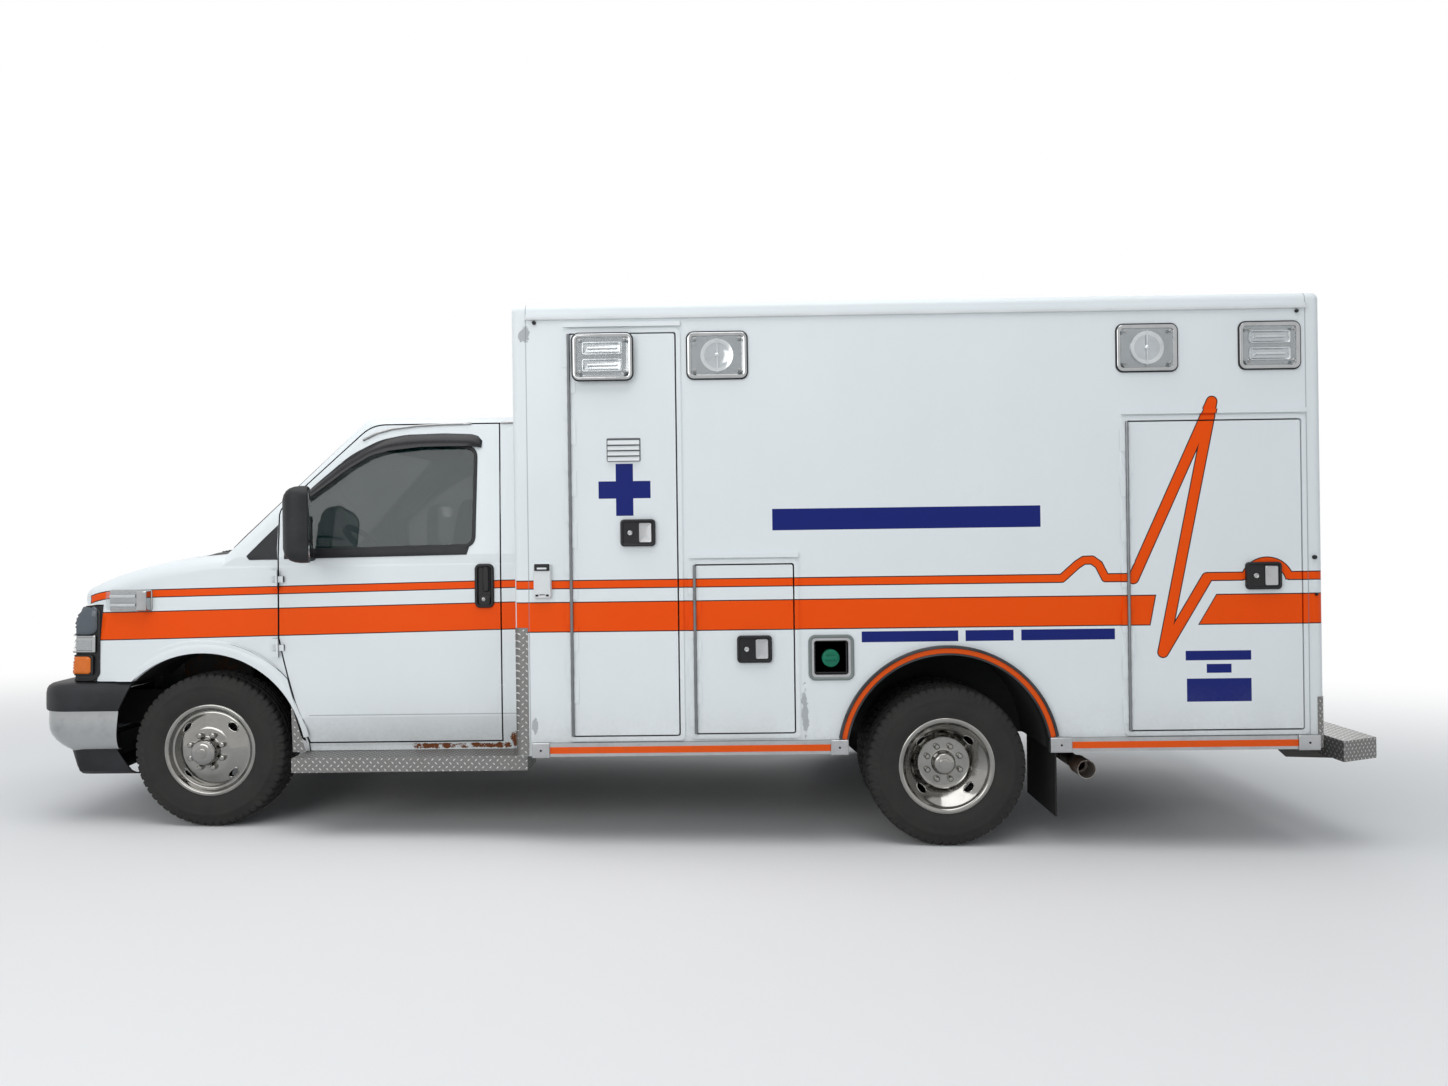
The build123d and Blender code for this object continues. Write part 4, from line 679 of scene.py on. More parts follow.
chrome = bright("chrome", (0.42, 0.43, 0.435), 0.07, 0.14)
dull_chrome = bright("dull_chrome", (0.3, 0.3, 0.3), 0.2, 0.25)
cover_chrome = bright("cover_chrome", (0.3, 0.295, 0.28), 0.09, 0.16)
aluminium = bright("aluminium", (0.42, 0.43, 0.44), 0.34, 0.2)
dress(chrome, "front_bumper")
dress(dull_chrome, "wheel_front_left", "wheel_front_right", "wheels_rear_left", "wheels_rear_right")
dress(aluminium, "rub_rails", "radiator", "side_inlets")

# Chequered plate: bright aluminium sheet with raised lozenges in two directions, used for
# the stone guards, the cab steps and the rear step, rougher between the lozenges, with a painted highlight on
# the lozenges and painted shade between them.
PLATE_PITCH = 0.034
LOZENGE_LENGTH = 0.44
LOZENGE_WIDTH = 0.17


def tread_plate():
    """Lozenges on a square net turned by 45 degrees: each cell holds one, and they lie along
    one diagonal in even cells and along the other in odd ones. The net lies in x and y on
    treads, and in x + y and z on upright plates."""
    finish = Finish("tread_plate")
    where, x, y, z = finish.place()
    _, _, up_part = finish.facing()
    lying = abs(up_part).step(0.5, 0.6)
    across = x + (1 - lying) * y
    rise = z + lying * (y - z)
    u = (across + rise) / PLATE_PITCH
    v = (across - rise) / PLATE_PITCH
    cell = (u.math("FLOOR") + v.math("FLOOR")).math("PINGPONG", 1.0)
    du = u.math("FRACT") - 0.5
    dv = v.math("FRACT") - 0.5
    long_way = du + cell * (dv - du)
    short_way = dv + cell * (du - dv)
    lozenge = 1 - (abs(long_way) / LOZENGE_LENGTH + abs(short_way) / LOZENGE_WIDTH)
    raised = lozenge.step(0.0, 0.35)
    cloud = finish.noise(where, 12.0, 4.0, 0.6)
    # Painted highlight on the raised lozenges and painted shade on the flat between them; the brown clouds
    # are dirt
    tone = raised.mix((0.2, 0.2, 0.195), (0.66, 0.66, 0.65))
    tone = (cloud.step(0.45, 0.85) * 0.45).mix(tone, (0.2, 0.185, 0.165))
    return finish.shade(tone, 0.46 - raised * 0.16 + cloud * 0.1, raised, 0.0026, metallic=0.85)


tread_metal = tread_plate()
dress(tread_metal, "tread_plates", "rear_step")


# Rubber: tyres and mud flaps, grey with dust in clouds.
def rubber_finish(name, dusty):
    """Rubber, with dust in clouds."""
    finish = Finish(name)
    where = finish.road()
    cloud = finish.noise(where, 7.0, 4.0, 0.6)
    fine = finish.noise(where, 240.0, 3.0, 0.6)
    colour = (cloud * dusty).mix((0.013, 0.013, 0.0135), (0.075, 0.07, 0.062))
    return finish.shade(colour, 0.62 + cloud * 0.2, fine, 0.0004, specular=0.22)


tyre_rubber = rubber_finish("tyre_rubber", 0.45)
flap_rubber = rubber_finish("flap_rubber", 0.25)
dress(tyre_rubber, "tyre_front_left", "tyre_front_right", "tyres_rear_left", "tyres_rear_right")
dress(flap_rubber, "mud_flaps")


# Under the floor: chassis black, castings and pipes, with road dirt and surface rust.
def rusty(name, base, rust_start, metallic=0.0, roughness=0.6):
    """Painted or bare iron that rusts where two noises add up to more than rust_start, with
    dust low down."""
    finish = Finish(name)
    where, _, _, z = finish.place()
    cloud = finish.noise(where, 5.0, 6.0, 0.7)
    fine = finish.noise(where, 80.0, 4.0, 0.7)
    scale = (cloud * 0.7 + fine * 0.3).step(rust_start, rust_start + 0.12)
    colour = scale.mix(base, fine.mix((0.11, 0.04, 0.016), (0.2, 0.095, 0.045)))
    dust = 1 - z.step(0.2, 0.6)
    colour = (dust * cloud * 0.5).mix(colour, (0.2, 0.18, 0.155))
    return finish.shade(colour, scale * 0.25 + roughness, fine, 0.0006, metallic=metallic)


chassis_black = rusty("chassis_black", (0.02, 0.02, 0.021), 0.56)
casting = rusty("casting", (0.06, 0.055, 0.05), 0.5)
pipe_steel = rusty("pipe_steel", (0.3, 0.28, 0.26), 0.45, metallic=0.6, roughness=0.45)
dress(chassis_black, "frame_rails", "rear_axle", "front_axle")
dress(casting, "engine_block", "driveline", "knuckle_left", "knuckle_right")
dress(pipe_steel, "exhaust")


# Glass: windshield, door and box windows, tinted, with a film of dust.
def glazing(name, tint, alpha):
    """Tinted glass: alpha is how much of the light behind it is held back."""
    finish = Finish(name)
    film = finish.noise(finish.road(), 6.0, 4.0, 0.6)
    veil = film.step(0.4, 0.9) * 0.12
    return finish.shade(veil.mix(tint, (0.2, 0.23, 0.22)), 0.02 + veil * 0.4, alpha=alpha)


cab_glass = glazing("cab_glass", (0.006, 0.024, 0.024), 0.62)
dark_glass = glazing("dark_glass", (0.008, 0.01, 0.01), 0.75)
dress(cab_glass, "windshield", "door_glass_left", "door_glass_right")
dress(dark_glass, "entry_glass", "rear_glass_left", "rear_glass_right")


# Patient room: sheet flooring, white laminate lockers and benches.
UNDERSEAL = (0.014, 0.0145, 0.015)


def sheet_finish(name, base, fleck, roughness, scale):
    """A sheet of one colour with fine flecks, undersealed black in the wheel houses and below
    the floor."""
    finish = Finish(name)
    where, x, y, z = finish.level()
    spots = finish.noise(where, scale, 2.0, 0.5).step(0.55, 0.62)
    cloud = finish.noise(where, 3.0, 3.0, 0.5)
    colour = (spots * 0.6 + cloud * 0.3).mix(base, fleck)
    house = 1 - rounds(x, z, *REAR_HOUSE).step(0.4775, 0.4795)
    below = (1 - z.step(0.7, 0.706)) * (1 - abs(y).step(1.13, 1.135))
    hidden = (house * abs(y).step(0.645, 0.648)).high(below)
    rough = roughness + hidden * 0.45 + cloud * 0.15
    return finish.shade(hidden.mix(colour, UNDERSEAL), rough, spots, 0.0002)


floor_sheet = sheet_finish("floor_sheet", (0.2, 0.21, 0.22), (0.3, 0.31, 0.32), 0.4, 220.0)
laminate = sheet_finish("laminate", (0.72, 0.73, 0.71), (0.66, 0.67, 0.65), 0.3, 140.0)
seat_vinyl = sheet_finish("seat_vinyl", (0.06, 0.06, 0.065), (0.1, 0.1, 0.105), 0.5, 320.0)
dress(floor_sheet, "box_floor")
dress(laminate, "box_interior")
dress(seat_vinyl, "cab_seats")
dress(chrome, "body_lamps")

# Tyres: six radial van tyres with five ribs, slotted shoulders and a rim-guard ridge,
# mounted on the wheels. Section points are radius and distance from the wheel's middle.
AXLE_RUN = HALF_WHEELBASE * math.cos(RAKE)
AXLE_RISE = HALF_WHEELBASE * math.sin(RAKE)
FRONT_AXLE = (-HALF_WHEELBASE - AXLE_RUN, AXLE_Z + AXLE_RISE)
REAR_AXLE = (-HALF_WHEELBASE + AXLE_RUN, AXLE_Z - AXLE_RISE)
FRONT_PLANE = 874
TWIN_PLANES = (801, 1069)
TREAD_PITCHES = 58
AROUND = TREAD_PITCHES * 8
sidewall = np.array([
    (205, 80), (213, 91), (224, 96), (229, 99), (232, 99), (236, 101), (252, 107), (270, 111), (290, 112),
    (306, 110.8), (308, 111.6), (318, 109.8), (320, 108.4), (334, 105), (344, 102), (353, 99), (360, 95),
])
tread_y = np.array([90, 84, 74, 63, 54.5, 53, 45, 43.5, 36, 27, 19.5, 18, 10, 8.5, 0])
crown = np.interp(tread_y, (0, 36, 74, 90), (372, 371.2, 368.8, 365.5))
half = np.concatenate([sidewall, np.stack([crown, tread_y], -1)])
section = np.concatenate([half, (half * (1, -1))[-2::-1]])


def tyre(axle, plane, side):
    """The tyre's skin: the section turned round the axle, its radius lowered by the ring
    grooves at two distances each side and by slots across the ribs, eight samples a pitch."""
    angle = np.linspace(0, 2 * math.pi, AROUND, endpoint=False)[:, None]
    radius = np.repeat(section[None, :, 0], AROUND, 0)
    out = np.repeat(section[None, :, 1], AROUND, 0)
    width = np.abs(out)
    turn = angle / (2 * math.pi) * TREAD_PITCHES + np.sign(out) * 0.25
    ring = ((width > 44.5) & (width < 53.5)) | ((width > 9) & (width < 18.5))
    shoulder = (width > 54) & (radius > 349)
    middle = (width > 19) & (width < 44)
    centre = width < 9
    slot_depth = 7.5 * (((turn + width * 0.006) % 1) < 0.26) * shoulder
    slot_depth += 5.5 * (((turn + width * 0.016) % 1) < 0.14) * middle
    slot_depth += 5.0 * (((turn + 0.5 + out * 0.03) % 1) < 0.14) * centre
    radius = radius - np.where(ring & (radius > 349), 9.0, slot_depth)
    flank = (radius > 322) & (radius < 350) & (width > 90)
    out = out - np.sign(out) * 2.2 * ((turn % 1) < 0.26) * flank
    x = axle[0] + radius * np.cos(angle)
    z = axle[1] + radius * np.sin(angle)
    y = side * plane + out
    return grid(np.stack([x, y, z], -1), wrap_u=True, wrap_v=True)


for side, word in SIDE_WORDS:
    for node, body, axle, planes in (
        (f"tyre_front_{word}", f"front_wheel_{word}", FRONT_AXLE, [FRONT_PLANE]),
        (f"tyres_rear_{word}", f"rear_wheels_{word}", REAR_AXLE, TWIN_PLANES),
    ):
        tyres = [tyre(axle, plane, side) for plane in planes]
        rolling = piece(f"{node}_tread", tyres, tyre_rubber, body, 40)
        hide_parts(node)


# Wheel covers: pressed bright steel snapped over the wheels, domed over the front hubs and
# dished over the rear ones, with four hand holes, nut covers and a hub cap.
front_cover = [
    (224, 88), (224.5, 94), (221, 98.5), (214, 100), (206, 98), (199, 90), (193, 78), (186, 73.5), (177, 76),
    (165, 84), (150, 94), (134, 104), (121, 112), (111, 116.5), (98, 118), (78, 118.5), (69, 120), (65, 127),
    (64, 142), (62, 156), (55, 168), (43, 176), (30, 179), (24, 179.2), (22, 182), (12, 183), (0.5, 183),
]
rear_cover = [
    (224, 88), (224.5, 94), (221, 98.5), (214, 100), (206, 98), (200, 93), (194, 84), (186, 75), (172, 61),
    (158, 47), (142, 30), (130, 17), (121, 7), (112, 4), (100, 3.5), (62, 3.5), (56, 6), (54, 14),
    (53.5, 30), (50, 40), (42, 47), (30, 49.5), (27, 49.5), (25, 52), (12, 53), (0.5, 53),
]
HOLE_CIRCLE = 158
HOLE_SIZE = (15, 29)
NUTS = 8
NUT_CIRCLE = 82.5
NUT_RADIUS = 14.5
COVER_AROUND = 240


def smooth_profile(points, steps):
    """A Catmull-Rom curve through the points: each span is a cubic with the slopes of its
    neighbours' chords."""
    p = np.array(points, float)
    p = np.concatenate([2 * p[:1] - p[1:2], p, 2 * p[-1:] - p[-2:-1]])
    t = np.linspace(0, 1, steps, endpoint=False)[None, :, None]
    a, b, c, d = (p[k:len(p) - 3 + k, None] for k in range(4))
    bend, twist = 2 * a - 5 * b + 4 * c - d, 3 * b - a - 3 * c + d
    curve = 0.5 * (2 * b + (c - a) * t + bend * t**2 + twist * t**3)
    return np.concatenate([curve.reshape(-1, 2), p[-2:-1]])


def cover(axle, plane, side, profile):
    """A pressed cover: the smoothed profile turned round the axle, less the quads inside four
    oval hand holes, each closed by a rolled lip."""
    line = smooth_profile(profile, 3)
    angle = np.linspace(0, 2 * math.pi, COVER_AROUND, endpoint=False)[:, None]
    x = line[None, :, 0] * np.cos(angle)
    z = line[None, :, 0] * np.sin(angle)
    y = np.repeat(side * (plane + line[None, :, 1]), COVER_AROUND, 0)
    vertices, faces = grid(np.stack([x + axle[0], y, z + axle[1]], -1), wrap_u=True)
    middle = vertices[np.array(faces)].mean(1) - (axle[0], 0, axle[1])
    radius = np.hypot(middle[:, 0], middle[:, 2])
    spoke = (np.arctan2(middle[:, 2], middle[:, 0]) % (math.pi / 2)) - math.pi / 4
    inside = ((radius - HOLE_CIRCLE) / HOLE_SIZE[0]) ** 2 + (spoke * radius / HOLE_SIZE[1]) ** 2 < 1
    parts = [(vertices, [face for face, cut in zip(faces, inside) if not cut])]
    round_hole = np.linspace(0, 2 * math.pi, 40, endpoint=False)
    for quarter in range(4):
        r = HOLE_CIRCLE + HOLE_SIZE[0] * np.cos(round_hole)
        a = math.pi / 4 + quarter * math.pi / 2 + HOLE_SIZE[1] * np.sin(round_hole) / r
        height = np.interp(r, line[::-1, 0], line[::-1, 1])
        x, z = axle[0] + r * np.cos(a), axle[1] + r * np.sin(a)
        lip = np.stack([x, side * (plane + height - 1), z], -1)
        parts.append(tube(lip, 3.2, 8, closed=True))
    return parts


for side, word in SIDE_WORDS:
    for end, body, axle, plane, profile, low, tall in (
        ("front", f"front_wheel_{word}", FRONT_AXLE, FRONT_PLANE, front_cover, 117, 25),
        ("rear", f"rear_wheels_{word}", REAR_AXLE, TWIN_PLANES[1], rear_cover, 3, 27),
    ):
        parts = cover(axle, plane, side, profile)
        nut_cover = [(0, 0), (0.4, tall * 0.6), (2, tall * 0.85), (6, tall), (14, tall + 1)]
        for nut in range(NUTS):
            angle = (nut + 0.5) * 2 * math.pi / NUTS
            x, z = axle[0] + NUT_CIRCLE * math.cos(angle), axle[1] + NUT_CIRCLE * math.sin(angle)
            parts.append(disc((x, side * (plane + low), z), SIDES[side], NUT_RADIUS, nut_cover, 4))
        piece(f"wheel_cover_{end}_{word}", parts, cover_chrome, body, 30, closed=False)


# Side warning lamps and scene lights: chrome bezels screwed to the wall round a clear lens,
# over twin flash tubes or a round halogen reflector.
LAMP_SIZE = (276, 215)
LAMP_RADIUS = 30
LAMP_RIM = 19
LENS_RIBS = 420.0
REAR_X = 1722
FRONT_X = -1991
WALL_LAMPS = [
    # side, x, z, flash tubes (True) or halogen (False)
    (-1, -1039, 2246, False),
    (-1, 928, 2250, False),
    (-1, 1486, 2253, True),
    (1, -1564, 2246, True),
    (1, -1039, 2246, False),
    (1, 928, 2250, False),
    (1, 1486, 2253, True),
]
DOOR_LAMP = (-1564, 2242.5)
DOOR_LAMP_SKIRT = 24
DOOR_SKIN = 6
REAR_LAMPS = [
    # y, z, width, height, lens
    (1040, 2253, 215, 215, "red"),
    (400, 2402, 200, 50, "red"),
    (1040, 1990, 200, 110, "clear"),
    (1060, 1180, 150, 110, "red"),
    (1060, 1050, 150, 110, "amber"),
    (1060, 920, 150, 110, "clear"),
]
FRONT_LAMPS_Y = (-800, -400, 0, 400, 800)


def lens_finish(name, tint, alpha):
    """Moulded lens plastic with fine upright ribs on its face."""
    finish = Finish(name)
    where, x, y, _ = finish.place()
    fluting = ((x + y) * LENS_RIBS).math("SINE") * 0.5 + 0.5
    haze = finish.noise(where, 30.0, 3.0, 0.6)
    tone = haze.mix(tint, tuple(0.85 * c for c in tint))
    return finish.shade(tone, 0.08 + haze * 0.1, fluting, 0.00025, alpha=alpha)


clear_lens = lens_finish("clear_lens", (0.5, 0.56, 0.58), 0.2)
flash_tube = bright("flash_tube", (0.7, 0.72, 0.73), 0.15, 0.1)
amber_lens = lens_finish("amber_lens", (0.8, 0.17, 0.003), 0.92)
LAMP_FINISHES = {
    # The black ring round each bezel is a painted reflection: the dark that its chrome rim reflects
    "painted_rim_reflection": dark_plastic,
    "bezel": chrome,
    "inside": flash_tube,
    "clear": clear_lens,
    "red": lens_finish("red_lens", (0.4, 0.006, 0.004), 0.92),
    "amber": amber_lens,
    "screw": dull_chrome,
}


def add_lamp(store, centre, board, size, tubes=True, lens="clear", skirt=0):
    """One lamp's parts, added to a store of parts by finish: a black ring round the bezel, which is a
    painted reflection of the dark in its chrome rim, the rounded bezel with a sunk pan, the bulged lens, and
    behind a clear one its tubes or its reflector with a strap and the screws in its corners. A lamp on a
    raised base has a skirt down to the wall."""
    across, rise, out = board
    centre = np.array(centre, float)
    small = min(size) / LAMP_SIZE[1]
    radius = LAMP_RADIUS * small
    rim = LAMP_RIM * small
    foot = (-0.5, -skirt) if skirt else (0, 0)
    bezel = [foot, (0, 7), (2, 10.5), (6, 12.5), (rim * 0.7, 12.5), (rim, 10), (rim + 1, 3), (rim + 6, 2)]
    store["bezel"].append(plate(centre, board, size, radius, bezel))
    # Painted reflection: a black ring round the bezel, for the dark reflected in the chrome rim
    painted_rim_reflection_size = (size[0] + 9 * small, size[1] + 9 * small)
    painted_rim_reflection = [(0, 0.2), (0, 5), (2, 7.5), (5, 7.5), (8, 0.4)]
    store["painted_rim_reflection"].append(plate(centre, board, painted_rim_reflection_size, radius + 4, painted_rim_reflection))
    inner = (size[0] - 2 * rim, size[1] - 2 * rim)
    bulge = [(0, 8), (1, 15), (4, 19.5), (12 * small, 23), (26 * small, 24)]
    store[lens].append(plate(centre, board, inner, radius * 0.75, bulge))
    if lens != "clear":
        return
    if tubes:
        pan = (inner[0] * 0.78, inner[1] * 0.33)
        pan_form = [(0, 0), (1, 9), (4, 9), (10, 2), (16, 1)]
        for level in (-1, 1):
            place = centre + rise * level * inner[1] * 0.22 + out * 3
            store["inside"].append(plate(place, board, pan, 10, pan_form, 4))
            ends = [place + across * pan[0] * end + out * 8 for end in (-0.36, 0.36)]
            store["inside"].append(tube(np.linspace(*ends, 12), 5.5, 10))
    else:
        bowl = [(0, 2), (2, 13), (6, 13), (22, 7), (38, 4), (52, 3)]
        store["inside"].append(disc(centre, board, inner[1] * 0.44, bowl, 8))
        store["inside"].append(disc(centre + out * 3, board, 11, [(0, 0), (1, 12), (5, 15)], 5))
        strap = [centre + rise * inner[1] * end + out * 12 for end in (-0.45, 0.45)]
        store["inside"].append(tube(np.linspace(*strap, 8), 4, 8))
    for sx, sz in ((-1, -1), (-1, 1), (1, -1), (1, 1)):
        corner = across * sx * (inner[0] / 2 - 17) + rise * sz * (inner[1] / 2 - 17)
        screw = [(0, 0), (0.5, 3), (2.5, 4.5), (4, 3)]
        store["screw"].append(disc(centre + corner + out * 21, board, 8, screw, 4))


def lamp_set(prefix, body, lamps, mounts=(), bezel=chrome):
    """The pieces of a set of lamps and their mounts on one body, one for each finish."""
    store = {key: [] for key in LAMP_FINISHES}
    store["bezel"] += mounts
    finishes = {**LAMP_FINISHES, "bezel": bezel}
    for lamp in lamps:
        add_lamp(store, *lamp)
    made = {}
    for key, parts in store.items():
        if parts:
            made[key] = piece(f"{prefix}_lamp_{key}", parts, finishes[key], body)
    return made


box_lamps = [((x, side * BOX_Y, z), SIDES[side], LAMP_SIZE, tubes) for side, x, z, tubes in WALL_LAMPS]
for y, z, width, tall, lens in REAR_LAMPS:
    box_lamps += [((REAR_X, side * y, z), REAR, (width, tall), True, lens) for side in (-1, 1)]
box_lamps += [((FRONT_X, y, 2342), FRONT, (240, 90), True, "red") for y in FRONT_LAMPS_Y]
made = lamp_set("box", "body", box_lamps)
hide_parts("body_lamps")
door_place = (DOOR_LAMP[0], -BOX_Y - DOOR_SKIN - DOOR_LAMP_SKIRT, DOOR_LAMP[1])
lamp_set("locker", "front_locker_door", [(door_place, LEFT, LAMP_SIZE, True, "clear", DOOR_LAMP_SKIRT)])


# Compartment latches: black moulded frames with a key lock on the left and a bright pull
# paddle on the right, sunk in the frame.
LATCHES = [
    # body, side, x, z
    ("front_locker_door", -1, -1413, 1434),
    ("middle_locker_door", -1, -884, 893),
    ("rear_locker_door", -1, 1441, 1201),
    ("entry_door", 1, -1110, 1201),
    ("right_locker_door", 1, 1441, 893),
]
LATCH_SIZE = (158, 122)
LATCH_BASE = BOX_Y + 18
PADDLE_SIZE = (58, 90)
LOCK_RADIUS = 12
latch_frame = [(-1.5, -11), (-1.5, 3), (0, 6), (7, 7), (10, 5.5), (12, 1.2), (14, 0.8)]
lock_face = [(0, 0.5), (0, 5), (1.5, 7), (4, 7.5), (6, 6)]
for body, side, x, z in LATCHES:
    board = SIDES[side]
    across = board[0]
    centre = np.array([x, side * LATCH_BASE, z], float)
    rim = plate(centre, board, LATCH_SIZE, 16, latch_frame)
    paddle_face = [(0, 0.5), (0, 4), (2, 6), (12, 4.4), (24, 3.6)]
    paddle = plate(centre + across * 34, board, PADDLE_SIZE, 8, paddle_face)
    lock = disc(centre - across * 36, board, LOCK_RADIUS, lock_face, 5)
    piece(f"{body}_latch_frame", [rim], dark_plastic, body)
    piece(f"{body}_latch_paddle", [paddle, lock], aluminium, body)


# Rub rails and wheel-arch trims: grey extrusions with an orange reflective strip let in, and
# cast aluminium caps screwed over the rails' ends.
RAIL_SPANS = [
    # front x, rear x, length of a cap
    (-1911, -460, 81),
    (460, 1682, 98),
]
RAIL_OUT = BOX_Y + 24
RAIL_Z = 440
STRIP_Z = (424, 454)
ARCH_CENTRE = (0, 390)
finish = Finish("orange_strip")
worn = finish.noise(finish.road(), 14.0, 4.0, 0.6)
tone = (worn.step(0.55, 0.8) * 0.6).mix((0.75, 0.085, 0.0), (0.55, 0.09, 0.012))
orange_strip = finish.shade(tone, 0.35 + worn * 0.2, specular=0.25)
trim_grey = grained("trim_grey", (0.03, 0.032, 0.035), (0.07, 0.073, 0.076), 0.45)


def arch_band(radii, outs, side):
    """A trim swept over the rear arch: its section, two radii by two distances out, carried
    from ten to a hundred and seventy degrees round the arch."""
    (inner, outer), (low, high) = radii, outs
    angle = np.linspace(math.radians(10.2), math.radians(169.8), 90)[:, None]
    half = [(inner, low), (inner, high - 2), (inner + 2, high)]
    ring = np.array(half + [(inner + outer - radius, out) for radius, out in half[::-1]])
    x = ARCH_CENTRE[0] + ring[None, :, 0] * np.cos(angle)
    z = ARCH_CENTRE[1] + ring[None, :, 0] * np.sin(angle)
    y = side * (BOX_Y + np.repeat(ring[None, :, 1], len(angle), 0))
    return grid(np.stack([x, y, z], -1), wrap_v=True, caps=True)


strips, trims, caps, holes = [], [], [], []
for side in (-1, 1):
    board = SIDES[side]
    strips.append(arch_band((473, 497), (7, 15), side))
    trims.append(arch_band((497, 509.5), (0, 22), side))
    trims.append(arch_band((464.5, 473), (4, 18), side))
    for x0, x1, cap in RAIL_SPANS:
        y = sorted((side * (RAIL_OUT - 3), side * (RAIL_OUT + 2)))
        strips.append(bar((x0 + cap, x1 - cap), y, STRIP_Z, 0.8))
        for x in (x0 + cap / 2, x1 - cap / 2):
            centre = np.array((x, side * (RAIL_OUT + 4.5), RAIL_Z), float)
            screw = [(0, 0), (0.5, 1.5), (3, 0.6)]
            caps.append(plate(centre, board, (cap, 68), 6, [(0, 0), (0, 2), (2, 4), (8, 4.6)], 4))
            holes.append(disc(centre + board[2] * 4.4, board, 5.5, screw, 4))
piece("orange_strips", strips, orange_strip, "body")
piece("arch_trims", trims, trim_grey, "body")
piece("rail_caps", caps, aluminium, "body")
piece("rail_screws", holes, dark_plastic, "body")

# Nose: the hood, fenders, lamp housings and grille with their front edge raked as on the real
# cab, where the solids stand upright: NOSE_BACK is how far at each height of NOSE_Z.
def unstand(points):
    """Metres on the road back to level millimetres."""
    p = np.asarray(points, float)
    dx, dz = p[..., 0] - MIDDLE_X, p[..., 2] - AXLE_Z / 1000
    x = (dx * math.cos(RAKE) + dz * math.sin(RAKE)) * 1000 - HALF_WHEELBASE
    z = (dz * math.cos(RAKE) - dx * math.sin(RAKE)) * 1000 + AXLE_Z
    return np.stack([x, p[..., 1] * 1000, z], -1)


NOSE_REAR = -3960
NOSE_FRONT = -4200
NOSE_Z = [750, 850, 960, 1058, 1105, 1125, 1145, 1168, 1195]
NOSE_BACK = [26, 10, 0, 37, 74, 82, 66, 32, 0]


def raked(points):
    """Level points drawn back: by nothing at the nose's rear, and by the whole amount for
    their height at its front, eased in and out between."""
    p = np.array(points, float)
    share = np.clip((NOSE_REAR - p[..., 0]) / (NOSE_REAR - NOSE_FRONT), 0, 1)
    share = share * share * (3 - 2 * share)
    p[..., 0] += share * np.interp(p[..., 2], NOSE_Z, NOSE_BACK)
    return p


def reshaped(node, name, body, change):
    """A node's own mesh with its level points changed, shown in the node's place."""
    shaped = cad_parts[node].data.copy()
    shaped.name = name
    level = unstand([v.co[:] for v in shaped.vertices])
    shaped.vertices.foreach_set("co", stand(change(level)).ravel())
    made = linked(name, shaped)
    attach(made, body)
    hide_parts(node)


for node, body, slot in (
    ("hood", "hood", "white_paint"),
    ("front_fenders", "body", "white_paint"),
    ("headlamps", "body", "lamp_housing"),
    ("grille", "body", "grille_plastic"),
):
    reshaped(node, f"{node}_raked", body, raked)


# Cab trim: what is laid on the cab's curved skin follows it. Each point of such a piece is
# found by a straight shot at the skin and lifted along the skin's own normal.
def skin_of(*nodes):
    """The nodes' surfaces as one tree in level millimetres, to shoot at."""
    vertices, faces = [], []
    for node in nodes:
        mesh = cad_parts[node].data
        start = len(vertices)
        vertices += raked(unstand([v.co[:] for v in mesh.vertices])).tolist()
        faces += [[k + start for k in polygon.vertices] for polygon in mesh.polygons]
    return BVHTree.FromPolygons(vertices, faces)


def shoot(skin, start, aim):
    """Where a shot meets the skin, and the normal there, turned against the shot."""
    place, normal, _, _ = skin.ray_cast(start, aim)
    if place is None:
        return np.array(start, float), -np.array(aim, float)
    normal = np.array(normal)
    return np.array(place), -normal if normal @ np.array(aim) > 0 else normal


def draped(hit, size, radius, profile, rings=5, steps=6, between=0):
    """A rounded plate laid on a curved skin: hit(across, rise) gives the skin's point and
    normal, and the profile goes on level from its last step to the plate's middle. With
    points between the corners the rings close to a line there, and else to a small face."""
    inset, height = profile[-1]
    room = min(size) / 2 - inset
    last = rings + 1 if between else rings
    steps_in = list(profile) + [(inset + room * k / rings, height) for k in range(1, last)]
    loops = []
    for inset, height in steps_in:
        width, tall = max(size[0] - 2 * inset, 0.6), max(size[1] - 2 * inset, 0.6)
        loop = []
        for a, b in rounded(width, tall, max(radius - inset, 0.3), steps, between):
            place, normal = hit(a, b)
            loop.append(place + normal * height)
        loops.append(loop)
    return grid(np.array(loops), wrap_v=True, caps=True)


def along(points, count):
    """count points at equal distances along a line through the given ones."""
    p = np.array(points, float)
    run = np.concatenate([[0], np.cumsum(np.linalg.norm(np.diff(p, axis=0), axis=1))])
    where = np.linspace(0, run[-1], count)
    return np.stack([np.interp(where, run, p[:, k]) for k in range(p.shape[1])], -1)


def strip(hit, upper, lower, heights):
    """A band between two lines on a skin: its outside rises as heights say, from the upper
    line to the lower one, and its back lies one wall behind. Its ends are rounded off."""
    rows = []
    count = max(len(upper), 32)
    for k, (top, foot) in enumerate(zip(along(upper, count), along(lower, count))):
        swell = min(1.0, (k + 0.5) / 2, (count - 0.5 - k) / 2)
        outside, inside = [], []
        for t, height in zip(np.linspace(0, 1, len(heights)), heights):
            place, normal = hit(*(top + (foot - top) * t))
            outside.append(place + normal * height * swell)
            inside.append(place + normal * ((height - 3) * swell if height > 4 else 0.2))
        rows.append(outside + inside[::-1])
    return grid(np.array(rows), wrap_v=True, caps=True)


cab_skin = skin_of("front_fenders", "cab_shell", "cab_door_left", "headlamps", "hood", "grille")
door_skin = skin_of("cab_door_left", "door_glass_left", "cab_shell", "front_fenders")
glass_skin = skin_of("windshield", "cab_shell", "hood")


